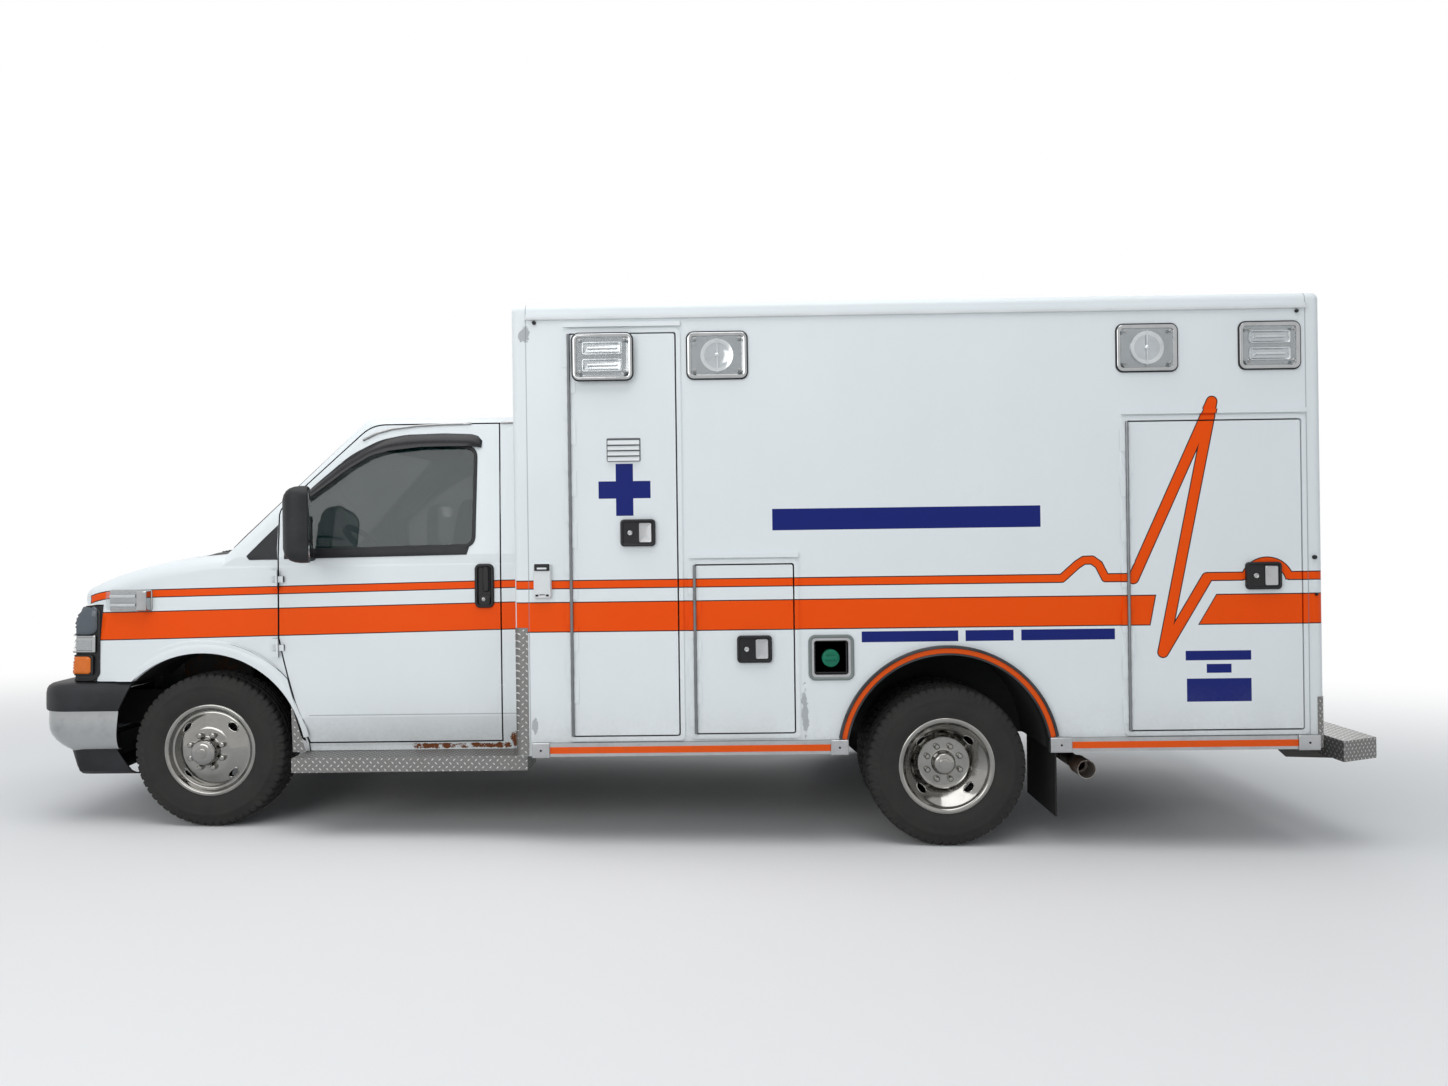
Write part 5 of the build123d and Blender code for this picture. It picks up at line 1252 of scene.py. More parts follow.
# Where shots start, well clear of the cab on its left, in front of it and above it
FAR_LEFT = -1500
FAR_FRONT = -5000
FAR_ABOVE = 2600


def from_left(skin, x=0, z=0):
    """Shots at the left side about a point (x, z)."""
    return lambda a, b: shoot(skin, (x + a, FAR_LEFT, z + b), (0, 1, 0))


def both(parts):
    """The left pieces and their mirror images."""
    return parts + [mirrored(part) for part in parts]


# Headlamps: a black housing round the nose's corner holds a smoked ribbed lamp, a bright
# low-beam unit under it and an amber turn signal.
CORNER = (-4060, -600)
CORNER_SHOT = 900
LAMP_SWEEP = 420


def nose_corner(turn, z):
    """A shot at the corner of the nose, round its middle: from the side at the sweep's start
    and from the front at its end."""
    angle = (turn / LAMP_SWEEP + 0.5) * math.pi / 2
    aim = np.array([-math.sin(angle), -math.cos(angle), 0])
    start = np.array([*CORNER, z]) + aim * CORNER_SHOT
    return shoot(cab_skin, start.tolist(), (-aim).tolist())[0], aim


smoked_lens = lens_finish("smoked_lens", (0.09, 0.11, 0.13), 0.92)
lamps_on_nose = [
    # name, turn, z, sweep, height, corner radius, finish, profile
    ("headlamp_housing", -12, 936, 396, 372, 46, dark_plastic, [(0, 0), (0, 4), (3, 6), (10, 6), (12, 3)]),
    ("headlamp_lens", -19, 1048, 360, 146, 34, smoked_lens, [(0, 2), (0, 9), (3, 14), (10, 18), (24, 20)]),
    ("low_beam_frame", -16, 932, 362, 84, 6, chrome, [(0, 2), (0, 16), (3, 20), (8, 20), (11, 12), (15, 11)]),
    ("low_beam_lens", -16, 926, 330, 50, 4, clear_lens, [(0, 10), (0, 14), (3, 16)]),
    ("turn_signal_frame", -12, 829, 352, 100, 16, dark_plastic, [(0, 2), (0, 12), (3, 14), (7, 14), (9, 8)]),
    ("turn_signal", -12, 829, 334, 84, 14, amber_lens, [(0, 6), (0, 13), (4, 17), (12, 19)]),
]
for name, turn, z, sweep, tall, radius, material, profile in lamps_on_nose:
    patch = draped(lambda a, b: nose_corner(turn + a, z + b), (sweep, tall), radius, profile, 6, 8, 22)
    piece(name, both([patch]), material, "body")

# Grille: thin upright fins behind the moulded bars, and two small clear warning lights on
# brackets in front of them.
FIN_COUNT = 33
FIN_PITCH = 32
FIN_FOOT = 760
FIN_TOP = 1098
FIN_BEHIND = 16
FIN_DEPTH = 14
GRILLE_LAMP = (-4308, 455, 1006)
GRILLE_LAMP_SIZE = (150, 82)
BRACKET_DEPTH = 63
BRACKET_HALF = (70, 39)
grille_skin = skin_of("grille")
fins = []
for k in range(FIN_COUNT):
    y = (k - (FIN_COUNT - 1) / 2) * FIN_PITCH
    place, _ = shoot(grille_skin, (FAR_FRONT, y, FIN_FOOT), (1, 0, 0))
    z = np.linspace(FIN_FOOT + 8, FIN_TOP, 8)
    back = np.interp(z, NOSE_Z, NOSE_BACK) - np.interp(FIN_FOOT, NOSE_Z, NOSE_BACK)
    x = place[0] + FIN_BEHIND + back
    corners = [(0, -2), (FIN_DEPTH, -2), (FIN_DEPTH, 2), (0, 2)]
    rows = np.stack([np.stack([x + dx, np.full_like(x, y + dy), z], -1) for dx, dy in corners], 1)
    fins.append(grid(rows, wrap_v=True, caps=True))
piece("grille_fins", fins, black_plastic, "body")
x, y, z = GRILLE_LAMP
lamps = [((x, side * y, z), FRONT, GRILLE_LAMP_SIZE) for side in (-1, 1)]
wide, tall = BRACKET_HALF
brackets = both([bar((x, x + BRACKET_DEPTH), (-y - wide, -y + wide), (z - tall, z + tall), 3)])
lamp_set("grille", "body", lamps, brackets, dull_chrome)

# Side warning lights on the front fenders: a clear ribbed lens ahead of a bright end block.
FENDER_LAMP_Z = 1141
lens_face = [(0, 0), (0, 34), (5, 44), (14, 48)]
lens_block = draped(from_left(cab_skin, -3925, FENDER_LAMP_Z), (158, 90), 14, lens_face)
end_face = [(0, 0), (0, 42), (3, 47), (8, 48)]
end_block = draped(from_left(cab_skin, -3821, FENDER_LAMP_Z - 1), (52, 98), 5, end_face)
base = draped(from_left(cab_skin, -3898, FENDER_LAMP_Z), (214, 104), 10, [(0, 0), (0, 6), (3, 8)])
piece("fender_lamp_lens", both([lens_block]), clear_lens, "body")
piece("fender_lamp_mount", both([end_block, base]), chrome, "body")
inside = []
for z in (-21, 21):
    row = [from_left(cab_skin)(x, FENDER_LAMP_Z + z) for x in np.linspace(-3990, -3862, 8)]
    inside.append(tube([place + normal * 22 for place, normal in row], 9, 10))
piece("fender_lamp_tubes", both(inside), flash_tube, "body")

# Door windows: black rubber round the glass, a smoked rain visor along the top and a black
# sail plate between the pillar and the glass.
def softened(points, radius, steps=6):
    """A closed polygon with each corner replaced by a smooth bend that starts radius from it."""
    p = np.array(points, float)
    bends = []
    for before, corner, after in zip(np.roll(p, 1, 0), p, np.roll(p, -1, 0)):
        into, out = before - corner, after - corner
        a = corner + into * min(radius / np.linalg.norm(into), 0.45)
        b = corner + out * min(radius / np.linalg.norm(out), 0.45)
        for t in np.linspace(0, 1, steps):
            bends.append((1 - t) ** 2 * a + 2 * t * (1 - t) * corner + t ** 2 * b)
    return np.array(bends)


def outwards(loop):
    """Unit directions out of a closed loop, in its own plane."""
    step = np.roll(loop, -1, 0) - np.roll(loop, 1, 0)
    step /= np.linalg.norm(step, axis=1)[:, None] + 1e-9
    out = np.stack([step[:, 1], -step[:, 0]], -1)
    away = ((loop - loop.mean(0)) * out).sum(1)
    return out * np.sign(away.sum())


WINDOW = [
    (-2232, 1386), (-2235, 1862), (-2560, 1925), (-2700, 1905),
    (-2843, 1832), (-3010, 1688), (-3140, 1560), (-3140, 1370),
]
window_loop = softened(WINDOW, 45)
window_loop = along([*window_loop, window_loop[0]], 200)[:-1]
FRAME_OUT = 26
SKIN_LIMIT = -1200
FACE_CENTRE = (-2700, 1650)
FACE_SPAN = (500, 300)
frame_points = [from_left(door_skin)(x, z)[0] for x, z in window_loop + outwards(window_loop) * FRAME_OUT]
frame_points = np.array([place for place in frame_points if place[1] > SKIN_LIMIT])


# The glass leans and curves, so its rubber and visor lie on a smooth face fitted to the skin
# just outside the window: y is the best quadratic in x and z.
def terms(x, z):
    """The quadratic's six terms, in x and z as shares of the window's span."""
    u = (np.asarray(x, float) - FACE_CENTRE[0]) / FACE_SPAN[0]
    w = (np.asarray(z, float) - FACE_CENTRE[1]) / FACE_SPAN[1]
    return np.stack([np.ones_like(u), u, w, u * u, u * w, w * w], -1)


frame_terms = terms(frame_points[:, 0], frame_points[:, 2])
face_fit = np.linalg.lstsq(frame_terms, frame_points[:, 1], rcond=None)[0]


def door_face(x, z):
    """The point of the fitted face at x and z, and the way out of it."""
    return np.array([x, terms(x, z) @ face_fit, z]), np.array([0.0, -0.98, 0.2])


def ring_strip(loop, section, face):
    """A closed band round a loop: its section is given by steps out of the loop and heights."""
    rows = []
    for (x, z), (ox, oz) in zip(loop, outwards(loop)):
        row = []
        for out, height in section:
            place, normal = face(x + ox * out, z + oz * out)
            row.append(place + normal * height)
        rows.append(row)
    return grid(np.array(rows), wrap_u=True, wrap_v=True)


seal_section = [(10, -1), (9, 3), (7, 4.5), (-6, 4.5), (-8, 2), (-9, -9), (-7, -9)]
seal_ring = ring_strip(window_loop, seal_section, door_face)
belt = strip(door_face, [(-3150, 1374), (-2250, 1388)], [(-3150, 1332), (-2264, 1342)], [2, 5, 6, 5, 2])
visor_top = [
    (-3130, 1590), (-3060, 1652), (-2992, 1712), (-2891, 1796), (-2758, 1885), (-2688, 1915), (-2583, 1936),
    (-2391, 1940), (-2250, 1934), (-2217, 1922), (-2204, 1900),
]
visor_low = [
    (-3112, 1560), (-3040, 1622), (-2966, 1676), (-2847, 1768), (-2741, 1830), (-2654, 1852), (-2497, 1868),
    (-2380, 1869), (-2250, 1868), (-2222, 1866), (-2207, 1864),
]
visor = strip(door_face, visor_top, visor_low, [1, 9, 16, 21, 24, 25, 24])
sail_top = [(-3334, 1348), (-3250, 1436), (-3178, 1508)]
sail_low = [(-3320, 1330), (-3250, 1330), (-3178, 1330)]
sail = strip(from_left(door_skin), sail_top, sail_low, [2, 4, 4, 2])
handle_rim = [(0, 0), (0, 7), (4, 11), (12, 11), (15, 5), (19, 2.5)]
handle = [
    draped(from_left(door_skin, -2178, 1191), (92, 212), 26, handle_rim),
    draped(from_left(door_skin, -2170, 1222), (30, 120), 13, [(0, 2), (0, 9), (4, 13)]),
    draped(from_left(door_skin, -2178, 1118), (56, 44), 12, [(0, 2), (0, 8), (3, 10)]),
]
barrel = draped(from_left(door_skin, -2181, 1126), (18, 18), 8.5, [(0, 9), (0, 12), (2, 13)], 3, 4)
smoked = grained("smoked_plastic", (0.006, 0.006, 0.008), (0.014, 0.014, 0.017), 0.2, 0.00005)
for name, parts, material, slot in (
    ("window_seal", [seal_ring, belt], black_plastic, "black_plastic"),
    ("rain_visor", [visor], smoked, "black_plastic"),
    ("door_handle", handle, dark_plastic, "black_plastic"),
    ("door_lock", [barrel], dull_chrome, None),
):
    piece(f"{name}_left", parts, material, "cab_door_left")
    piece(f"{name}_right", [mirrored(part) for part in parts], material, "cab_door_right")
piece("sail_plates", both([sail]), black_plastic, "body")

# Mirrors: rounded black heads on two arms, with a silvered glass towards the driver.
finish = Finish("mirror_glass")
film = finish.noise(finish.road(), 14.0, 4.0, 0.6)
mirror_glass = finish.shade((0.82, 0.84, 0.85), 0.02 + film * 0.05, metallic=1.0)
MIRROR_X = -2950
MIRROR_Y = 1181
MIRROR_TURN = math.radians(18)
ARM_X = -3010
mirror_head = [(6, -3), (1, 0), (0, 6), (0, 34), (4, 58), (12, 78), (24, 92), (42, 103), (66, 110), (90, 112)]
mirror_panes = [
    # height of the middle, size, corner radius, profile
    (1535, (180, 240), 40, [(0, 0), (0, 1.5), (2, 2)]),
    (1374, (156, 62), 24, [(0, 0), (0, 1.5), (2, 4), (12, 6)]),
]


def aimed(part, side):
    """A mirror's part turned about its middle, so that the glass faces the driver."""
    vertices, faces = part
    cos, sin = math.cos(MIRROR_TURN), -side * math.sin(MIRROR_TURN)
    x, y = vertices[:, 0] - MIRROR_X, vertices[:, 1] - side * MIRROR_Y
    turned = [MIRROR_X + x * cos - y * sin, side * MIRROR_Y + x * sin + y * cos, vertices[:, 2]]
    return np.stack(turned, -1), faces


for side, word in SIDE_WORDS:
    body = f"cab_door_{word}"
    head = plate((MIRROR_X, side * MIRROR_Y, 1493), FRONT, (214, 356), 58, mirror_head, 8)
    parts = [aimed(head, side)]
    for inner, z in ((930, 1338), (1012, 1520)):
        arm = np.linspace((ARM_X, side * 1120, z), (ARM_X, side * inner, z), 6)
        parts.append(tube(arm, (15, 16, 17, 17, 16, 15), 12))
    post = np.linspace((ARM_X, side * 1020, 1322), (ARM_X, side * 1020, 1536), 6)
    parts.append(tube(post, 14, 12))
    made = piece(f"mirror_{word}_head", parts, black_plastic, body)
    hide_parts(f"mirror_{word}")
    glasses = []
    for z, size, radius, profile in mirror_panes:
        glass = plate((MIRROR_X + 2, side * MIRROR_Y, z), REAR * (1, side, 1), size, radius, profile, 8)
        glasses.append(aimed(glass, side))
    piece(f"mirror_{word}_glass", glasses, mirror_glass, body)

# Cowl and wipers: a black slotted panel under the windshield, and two arms with blades.
def from_above(a, b):
    """A shot down at a point (x, y)."""
    return shoot(glass_skin, (a, b, FAR_ABOVE), (0, 0, -1))


def from_front(a, b):
    """A shot rearwards at a point (y, z)."""
    return shoot(glass_skin, (FAR_FRONT, a, b), (1, 0, 0))


COWL_HALF = 993
COWL_FRONT = -3630


def foot_bend(y):
    """1 on the middle line and 0 at the hood's hinges: how far the windshield's foot bends."""
    return 1 - (y / COWL_HALF) ** 2


def lifted_line(hits, heights):
    """The points of shots at a skin, each lifted by its height."""
    return [place + normal * height for (place, normal), height in zip(hits, heights)]


cowl_y = np.linspace(-775, 775, 40)
cowl_rear = [(-3462 - 148 * foot_bend(y), y) for y in cowl_y]
cowl = strip(from_above, [(COWL_FRONT, y) for y in cowl_y], cowl_rear, [2, 7, 8, 8, 6, 2])
slots = []
for y in np.arange(-660, 661, 44):
    place, normal = from_above(-3546 - 74 * foot_bend(y), y)
    slot_line = [place + normal * 8 + np.array([x, 0, 0]) for x in np.linspace(-16, 16, 5)]
    slots.append(tube(slot_line, 3, 6))
piece("cowl_panel", [cowl, *slots], black_plastic, "body")
WIPERS = [
    # y of the blade's two ends and of the arm's pivot
    (-745, -110, -330),
    (0, 600, 380),
]
wipers = []
for start, end, pivot in WIPERS:
    share = np.linspace(0, 1, 24)
    blade = [from_front(start + (end - start) * t, 1432 + 16 * math.sin(t * math.pi)) for t in share]
    wipers.append(tube(lifted_line(blade, [9] * len(share)), 7, 8))
    share = np.linspace(0, 1, 12)
    reach = (start + end) / 2 - pivot
    arm = [from_front(pivot + reach * t, 1400 + 42 * t) for t in share]
    wipers.append(tube(lifted_line(arm, 12 + 12 * np.sin(share * math.pi)), 8, 8))
piece("wipers", wipers, dark_plastic, "body")
half_rubber = [(-850, 1385), (-855, 1440), (-742, 1935), (0, 1941)]
rubber_line = half_rubber + [(-y, z) for y, z in half_rubber[-2::-1]] + [(0, 1385)]
edge = [from_front(y, z) for y, z in along(rubber_line + rubber_line[:1], 180)[:-1]]
rubber = tube(lifted_line(edge, [2] * len(edge)), 8, 8, closed=True)
piece("windshield_seal", [rubber], black_plastic, "body")

# Bumper: a chromed steel face bar bent round the nose, its lower edge rolled under, with a
# black moulded cover on top and a black air dam below.
BUMPER_HALF = 1005
BUMPER_ARC = 8446.9
BUMPER_ARC_X = 4016.9
BUMPER_BEND = 180
BUMPER_BEND_AT = (-4208.7, -825)
BUMPER_FRONT_HALF = 843
SIDE_STEPS = 7
BEND_STEPS = 12


def bumper_plan(rear_x):
    """The bumper's outline in plan from one rear end round to the other: points and normals."""
    side_x = np.linspace(rear_x, BUMPER_BEND_AT[0], SIDE_STEPS + 1)[:-1]
    p = [(x, -BUMPER_HALF, 0.0, -1.0) for x in side_x]
    front = math.asin(BUMPER_FRONT_HALF / BUMPER_ARC)
    for turn in np.linspace(0, math.pi / 2 - front, BEND_STEPS):
        nx, ny = -math.sin(turn), -math.cos(turn)
        p.append((BUMPER_BEND_AT[0] + BUMPER_BEND * nx, BUMPER_BEND_AT[1] + BUMPER_BEND * ny, nx, ny))
    for turn in np.linspace(-front, front, 22)[1:-1]:
        nx, ny = -math.cos(turn), math.sin(turn)
        p.append((BUMPER_ARC_X + BUMPER_ARC * nx, BUMPER_ARC * ny, nx, ny))
    other = [(x, -y, nx, -ny) for x, y, nx, ny in p[:SIDE_STEPS + BEND_STEPS]]
    return np.array(p + other[::-1])


def bent_bar(section, wall, rear, tuck):
    """A wall swept round the bumper's plan. The section gives heights and distances out of the
    plan; rear gives the ends' x over height, and tuck how much of a step in the sides take."""
    z, out = np.array(section, float).T
    plans = np.array([bumper_plan(np.interp(height, *rear)) for height in z])
    x, y, nx, ny = plans.transpose(2, 1, 0)
    reach = out * (tuck + (1 - tuck) * np.abs(nx))
    inner_z = z + ((z[0] + z[-1]) / 2 - z) * 0.05
    outside = np.stack([x + nx * reach, y + ny * reach, np.broadcast_to(z, x.shape)], -1)
    reach = reach - wall
    inside = np.stack([x + nx * reach, y + ny * reach, np.broadcast_to(inner_z, x.shape)], -1)
    return grid(np.concatenate([outside, inside[:, ::-1]], 1), wrap_v=True, caps=True)


chrome_section = [
    (606, -26), (607, -16), (611, -11), (618, -10), (606, -12), (585, -12), (545, -11),
    (513, -14), (490, -22), (461, -44), (440, -70), (425, -98), (414, -132), (411, -150),
]
cover_section = [
    (608, -14), (608, -5), (613, -1), (640, 0), (690, -1), (712, -5),
    (726, -14), (735, -28), (741, -52), (745, -100), (748, -160), (749, -262),
]
dam_section = [(409, -122), (370, -136), (330, -152), (300, -172), (286, -208), (278, -250), (272, -290)]
bumper_bar = bent_bar(chrome_section, 14, ([410, 607], [-3982, -3960]), 0.4)
bumper_top = bent_bar(cover_section, 12, ([607, 750], [-3962, -3890]), 0.42)
air_dam = bent_bar(dam_section, 10, ([268, 409], [-3940, -4008]), 0.6)
made = piece("bumper_face_bar", [bumper_bar], chrome, "body")
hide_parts("front_bumper")
white_plastic = grained("white_plastic", (0.68, 0.7, 0.7), (0.76, 0.78, 0.78), 0.38)
NUMBER_PLATE = (305, 152)
blank = plate((-4424, 0, 512), FRONT, NUMBER_PLATE, 12, [(0, 0), (0, 2), (1, 3), (4, 3), (6, 2)])
screws = [disc((-4427, y, 560), FRONT, 6, [(0, 0), (1, 2), (3, 2.4)], 3) for y in (-90, 90)]
piece("front_plate", [blank], white_plastic, "body")
piece("front_plate_screws", screws, dull_chrome, "body")
made = piece("bumper_cover_and_dam", [bumper_top, air_dam], black_plastic, "body")
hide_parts("bumper_cover")

# Cab edges: the rolled lip round the front wheel arch and the drip gutter over the door.
FRONT_ARCH = (-3550, 385, 502)
PANEL_NEAR = 62
PANEL_FAR = 92
FLAT_TURN = 62
FLAT_Y = -1000


def arch_point(turn, out):
    """The place, x and z, so many degrees round the wheel arch and so far out from its edge."""
    x, z, radius = FRONT_ARCH
    angle = math.radians(turn)
    return x + (radius + out) * math.cos(angle), z + (radius + out) * math.sin(angle)


def arch_edge(turn, out):
    """The fender's point there and the way out. Near the edge the panel's slope further out
    is carried on, and behind the wheel the panel is flat."""
    near, far = (from_left(cab_skin)(*arch_point(turn, reach))[0][1] for reach in (PANEL_NEAR, PANEL_FAR))
    slope = (near - far) / (PANEL_FAR - PANEL_NEAR)
    y = near + slope * (PANEL_NEAR - out) if turn > FLAT_TURN else FLAT_Y
    x, z = arch_point(turn, out)
    return np.array([x, y, z]), np.array([0, -1.0, 0])


lip_outer = [
    (131, 34), (124, 46), (112, 58), (95, 60), (70, 60), (58, 60),
    (50, 58), (45, 48), (40, 36), (33, 23), (24, 16), (10, 22),
]
lip_inner = [(turn, -3) for turn, _ in lip_outer]
lip = strip(arch_edge, lip_outer, lip_inner, [0.4, 6, 10, 12, 12.5, 12, 11])
piece("arch_lips", both([lip]), livery_paint, "body", 40)
gutter_line = [(-2793, 1908), (-2725, 1942), (-2651, 1962), (-2530, 1976), (-2404, 1982), (-2053, 1987)]
gutter = [from_left(cab_skin)(x, z)[0] for x, z in along(gutter_line, 40)]
gutter = tube(np.array(gutter) + (0, -3, 3), 5.5, 8)
piece("roof_gutters", both([gutter]), dull_chrome, "body", 40)

# Behind the front wheels: the tread plate on the lower front corner of the cab's step, and
# the step itself, which ends a little further back than its solid.
STEP_FRONT = -3080
STEP_BACK = 63


def shortened(points):
    """Level points with those at the step's front end moved straight back along the road."""
    ahead = (points[:, 0] < STEP_FRONT)[:, None]
    return points + ahead * np.array([STEP_BACK * math.cos(RAKE), 0, -STEP_BACK * math.sin(RAKE)])


def extruded(outline, low, high):
    """A flat panel: an outline of x and z between two values of y."""
    ends = [[(x, y, z) for x, z in outline] for y in (low, high)]
    return grid(np.array(ends, float), wrap_v=True, caps=True)


reshaped("tread_plates", "steps_and_guards", "body", shortened)
panel = extruded([(-3118, 640), (-3112, 402), (-3050, 402)], -1003, -1000)
piece("step_corners", both([panel]), tread_metal, "body")

# Left wall fittings: the fuel filler in its grey bowl, the power inlet's white box, the door's
# louvred vent, rubber bumpers for the doors, and their full-length hinges.
BOWL_PLACE = (-532, 849)
BOWL_SIZE = (206, 206)
CAP_PLACE = (-533, 845)
INLET_X = -1856
VENT_PLACE = (-1475, 1817)
VENT_HALF = 74
LOUVRE_COUNT = 4
LOUVRE_PITCH = 25
LOUVRE_FIRST = 1767


def on_left(place, size, radius, profile, steps=6):
    """A plate on the box's left side, at an x and a z."""
    return plate((place[0], -BOX_Y, place[1]), LEFT, size, radius, profile, steps)


# The bowl is grey plastic; its sunk inside is painted near black, a painted shade in the recess
finish = Finish("bowl_grey_recess_shade")
where, _, y, _ = finish.place()
worn = finish.noise(where, 30.0, 3.0, 0.6)
grey = worn.mix((0.14, 0.165, 0.16), (0.2, 0.23, 0.22))
bowl_grey_recess_shade = finish.shade(abs(y).step(1.2, 1.2055).mix((0.006, 0.007, 0.008), grey), 0.4 + worn * 0.2)
bowl_profile = [
    (31, -38), (14, -36), (14, 0.5), (-2, 0.5), (-2, 5), (0, 8),
    (4, 9.5), (9, 8.5), (15, 3), (23, -6), (28, -33), (32, -34),
]
bowl = on_left(BOWL_PLACE, BOWL_SIZE, 30, bowl_profile, 8)
piece("filler_bowl_lining", [bowl], bowl_grey_recess_shade, "body")
cap_green = grained("cap_green", (0.0, 0.13, 0.07), (0.0, 0.2, 0.11), 0.35)
cap_profile = [(0, -34), (0, -12), (2, -7), (6, -5), (14, -4.5), (22, -6)]
filler = on_left(CAP_PLACE, (82, 82), 41, cap_profile, 10)
grip = on_left(CAP_PLACE, (66, 17), 8, [(0, -7), (0, 0), (2, 2), (5, 2.6)])
piece("filler_cap", [filler, grip], cap_green, "body")
inlet = on_left((INLET_X, 1219), (80, 160), 9, [(0, 0.5), (0, 20), (3, 25), (8, 26)])
lid = on_left((INLET_X, 1281), (70, 32), 4, [(0, 25), (0, 29), (1.5, 30.5), (4, 30.5)])
label = on_left((INLET_X, 1276), (44, 8), 1, [(0, 30), (0, 31), (0.5, 31.2)], 2)
mark = on_left((INLET_X, 1155), (26, 4), 1, [(0, 25.5), (0, 26.6), (0.5, 27)], 2)
catch = [(0, 25.5), (0, 28), (1, 29)]
catches = [on_left((INLET_X + x, 1152), (14, 9), 2, catch, 3) for x in (-24, 24)]
piece("power_inlet", [inlet], white_plastic, "body")
piece("power_inlet_lid", [lid, mark, *catches], dark_plastic, "body")
piece("power_inlet_label", [label], white_plastic, "body")
# Painted shade: a grey sheet behind the louvres, seen only in the gaps between them
vent_form = [(0, 0.2), (0, 1.5), (1, 2), (6, 2)]
vent_gap_shade = plate((VENT_PLACE[0], -BOX_Y - DOOR_SKIN, VENT_PLACE[1]), LEFT, (156, 108), 6, vent_form)
louvre_section = np.array([(20, 1.5), (17, 9), (5, 15.5), (-1, 17), (-2, 15), (1, 1.5)])
louvres = []
for k in range(LOUVRE_COUNT):
    rows = []
    for x, share in ((-VENT_HALF, 0.3), (-VENT_HALF + 2, 1), (VENT_HALF - 2, 1), (VENT_HALF, 0.3)):
        rise, out = louvre_section.T
        out = np.where(out > 1.5, out * share, out)
        across = np.full_like(out, VENT_PLACE[0] + x)
        rows.append(np.stack([across, -BOX_Y - 4 - out, LOUVRE_FIRST + LOUVRE_PITCH * k + rise], -1))
    louvres.append(grid(np.array(rows), wrap_v=True, caps=True))
vent_shade_grey = grained("vent_shade_grey", (0.1, 0.105, 0.11), (0.16, 0.165, 0.17), 0.5)
piece("vent_gap_shade", [vent_gap_shade], vent_shade_grey, "front_locker_door")
piece("vent_louvres", louvres, white_plastic, "front_locker_door")
DOORS = [
    # body, side, front x, low z, high z
    ("front_locker_door", -1, -1727, 496, 2357),
    ("middle_locker_door", -1, -1160, 502, 1286),
    ("rear_locker_door", -1, 826, 495, 1918),
    ("entry_door", 1, -1727, 500, 2090),
    ("right_locker_door", 1, 826, 495, 1286),
]
HINGE_PITCH = 60
HINGE_Y = 1219.5
KNUCKLE_RADII = (7.6, 6.9)
hinge_grey = bright("hinge_grey", (0.2, 0.21, 0.22), 0.4, 0.2)
for body, side, x0, z0, z1 in DOORS:
    count = 2 * round((z1 - z0) / HINGE_PITCH)
    z = np.repeat(np.linspace(z0 + 6, z1 - 6, count), 2)
    z[::2] -= 1.5
    z[1::2] += 1.5
    wide = np.where(np.arange(len(z)) // 2 % 2 == 0, *KNUCKLE_RADII)
    line = np.stack([np.full(len(z), x0 + 3.5), np.full(len(z), side * HINGE_Y), z], -1)
    piece(f"{body}_hinge", [tube(line, wide, 10)], hinge_grey, body)
bumpers = []
for x, z, radius in ((1678, 1282, 10), (1685, 1113, 7), (1611, 2408, 8), (-1882, 2409, 9)):
    bumpers.append(disc((x, -BOX_Y, z), LEFT, radius, [(0, 0.3), (0, 9), (2, 13), (5, 14.5)], 6))
piece("door_bumpers", both(bumpers), dark_plastic, "body")
drip_section = [(2436, 0.3), (2437, 7), (2434, 11), (2428, 12.5), (2422, 11), (2420, 6), (2424, 0.3)]
drip = [[(x, -BOX_Y - out, z) for z, out in drip_section] for x in (-1925, 1655)]
drip = grid(np.array(drip, float), wrap_v=True, caps=True)
piece("drip_rails", both([drip]), white_plastic, "body")

# Windows of the patient box: black rubber round each pane, in the entry door and the two
# rear doors.
for board, centre, size, body in (
    (RIGHT, (-1370, BOX_Y + DOOR_SKIN, 1615), (380, 570), "entry_door"),
    (REAR, (REAR_X, -325, 1680), (390, 560), "rear_door_left"),
    (REAR, (REAR_X, 325, 1680), (390, 560), "rear_door_right"),
):
    loop = rounded(size[0] + 8, size[1] + 8, 44, 8)
    across, rise, out = board
    path = np.array(centre, float) + loop[:, :1] * across + loop[:, 1:] * rise + 2.5 * out
    piece(f"{body}_window_seal", [tube(path, 9, 8, closed=True)], dark_plastic, body)

# Rear end: latch plates and grab handles on the doors, a blank number plate, and the black
# brackets that carry the rear step.
REAR_LATCH = (1734, 70)
REAR_RAIL_Y = 575
rail_path = [(1724, 1060), (1760, 1062), (1778, 1085), (1778, 1270), (1778, 1455), (1760, 1478), (1724, 1480)]
for side, word in SIDE_WORDS:
    body = f"rear_door_{word}"
    x, y = REAR_LATCH[0], side * REAR_LATCH[1]
    latch = plate((x, y, 1205), REAR, (86, 256), 12, latch_frame)
    pull = plate((x, y, 1170), REAR, (52, 130), 8, [(0, 0.5), (0, 5), (2, 7), (12, 6)])
    lock = disc((x, y, 1285), REAR, 13, lock_face, 5)
    piece(f"{body}_latch_frame", [latch], dark_plastic, body)
    piece(f"{body}_latch_pull", [pull, lock], aluminium, body)
    rail = along([(x, side * REAR_RAIL_Y, z) for x, z in rail_path], 40)
    piece(f"{body}_grab_rail", [tube(rail, 13, 10)], aluminium, body)
number = plate((REAR_X, -930, 700), REAR, NUMBER_PLATE, 12, [(0, 0.3), (0, 4), (1, 5), (4, 5), (6, 4)])
piece("rear_plate", [number], white_plastic, "body")
bracket = [(1560, 404), (1640, 330), (1985, 318), (1985, 342), (1800, 342), (1800, 404)]
brackets = both([extruded(bracket, y - 4, y + 4) for y in (-1000, -690)])
piece("rear_step_brackets", brackets, chassis_black, "body")

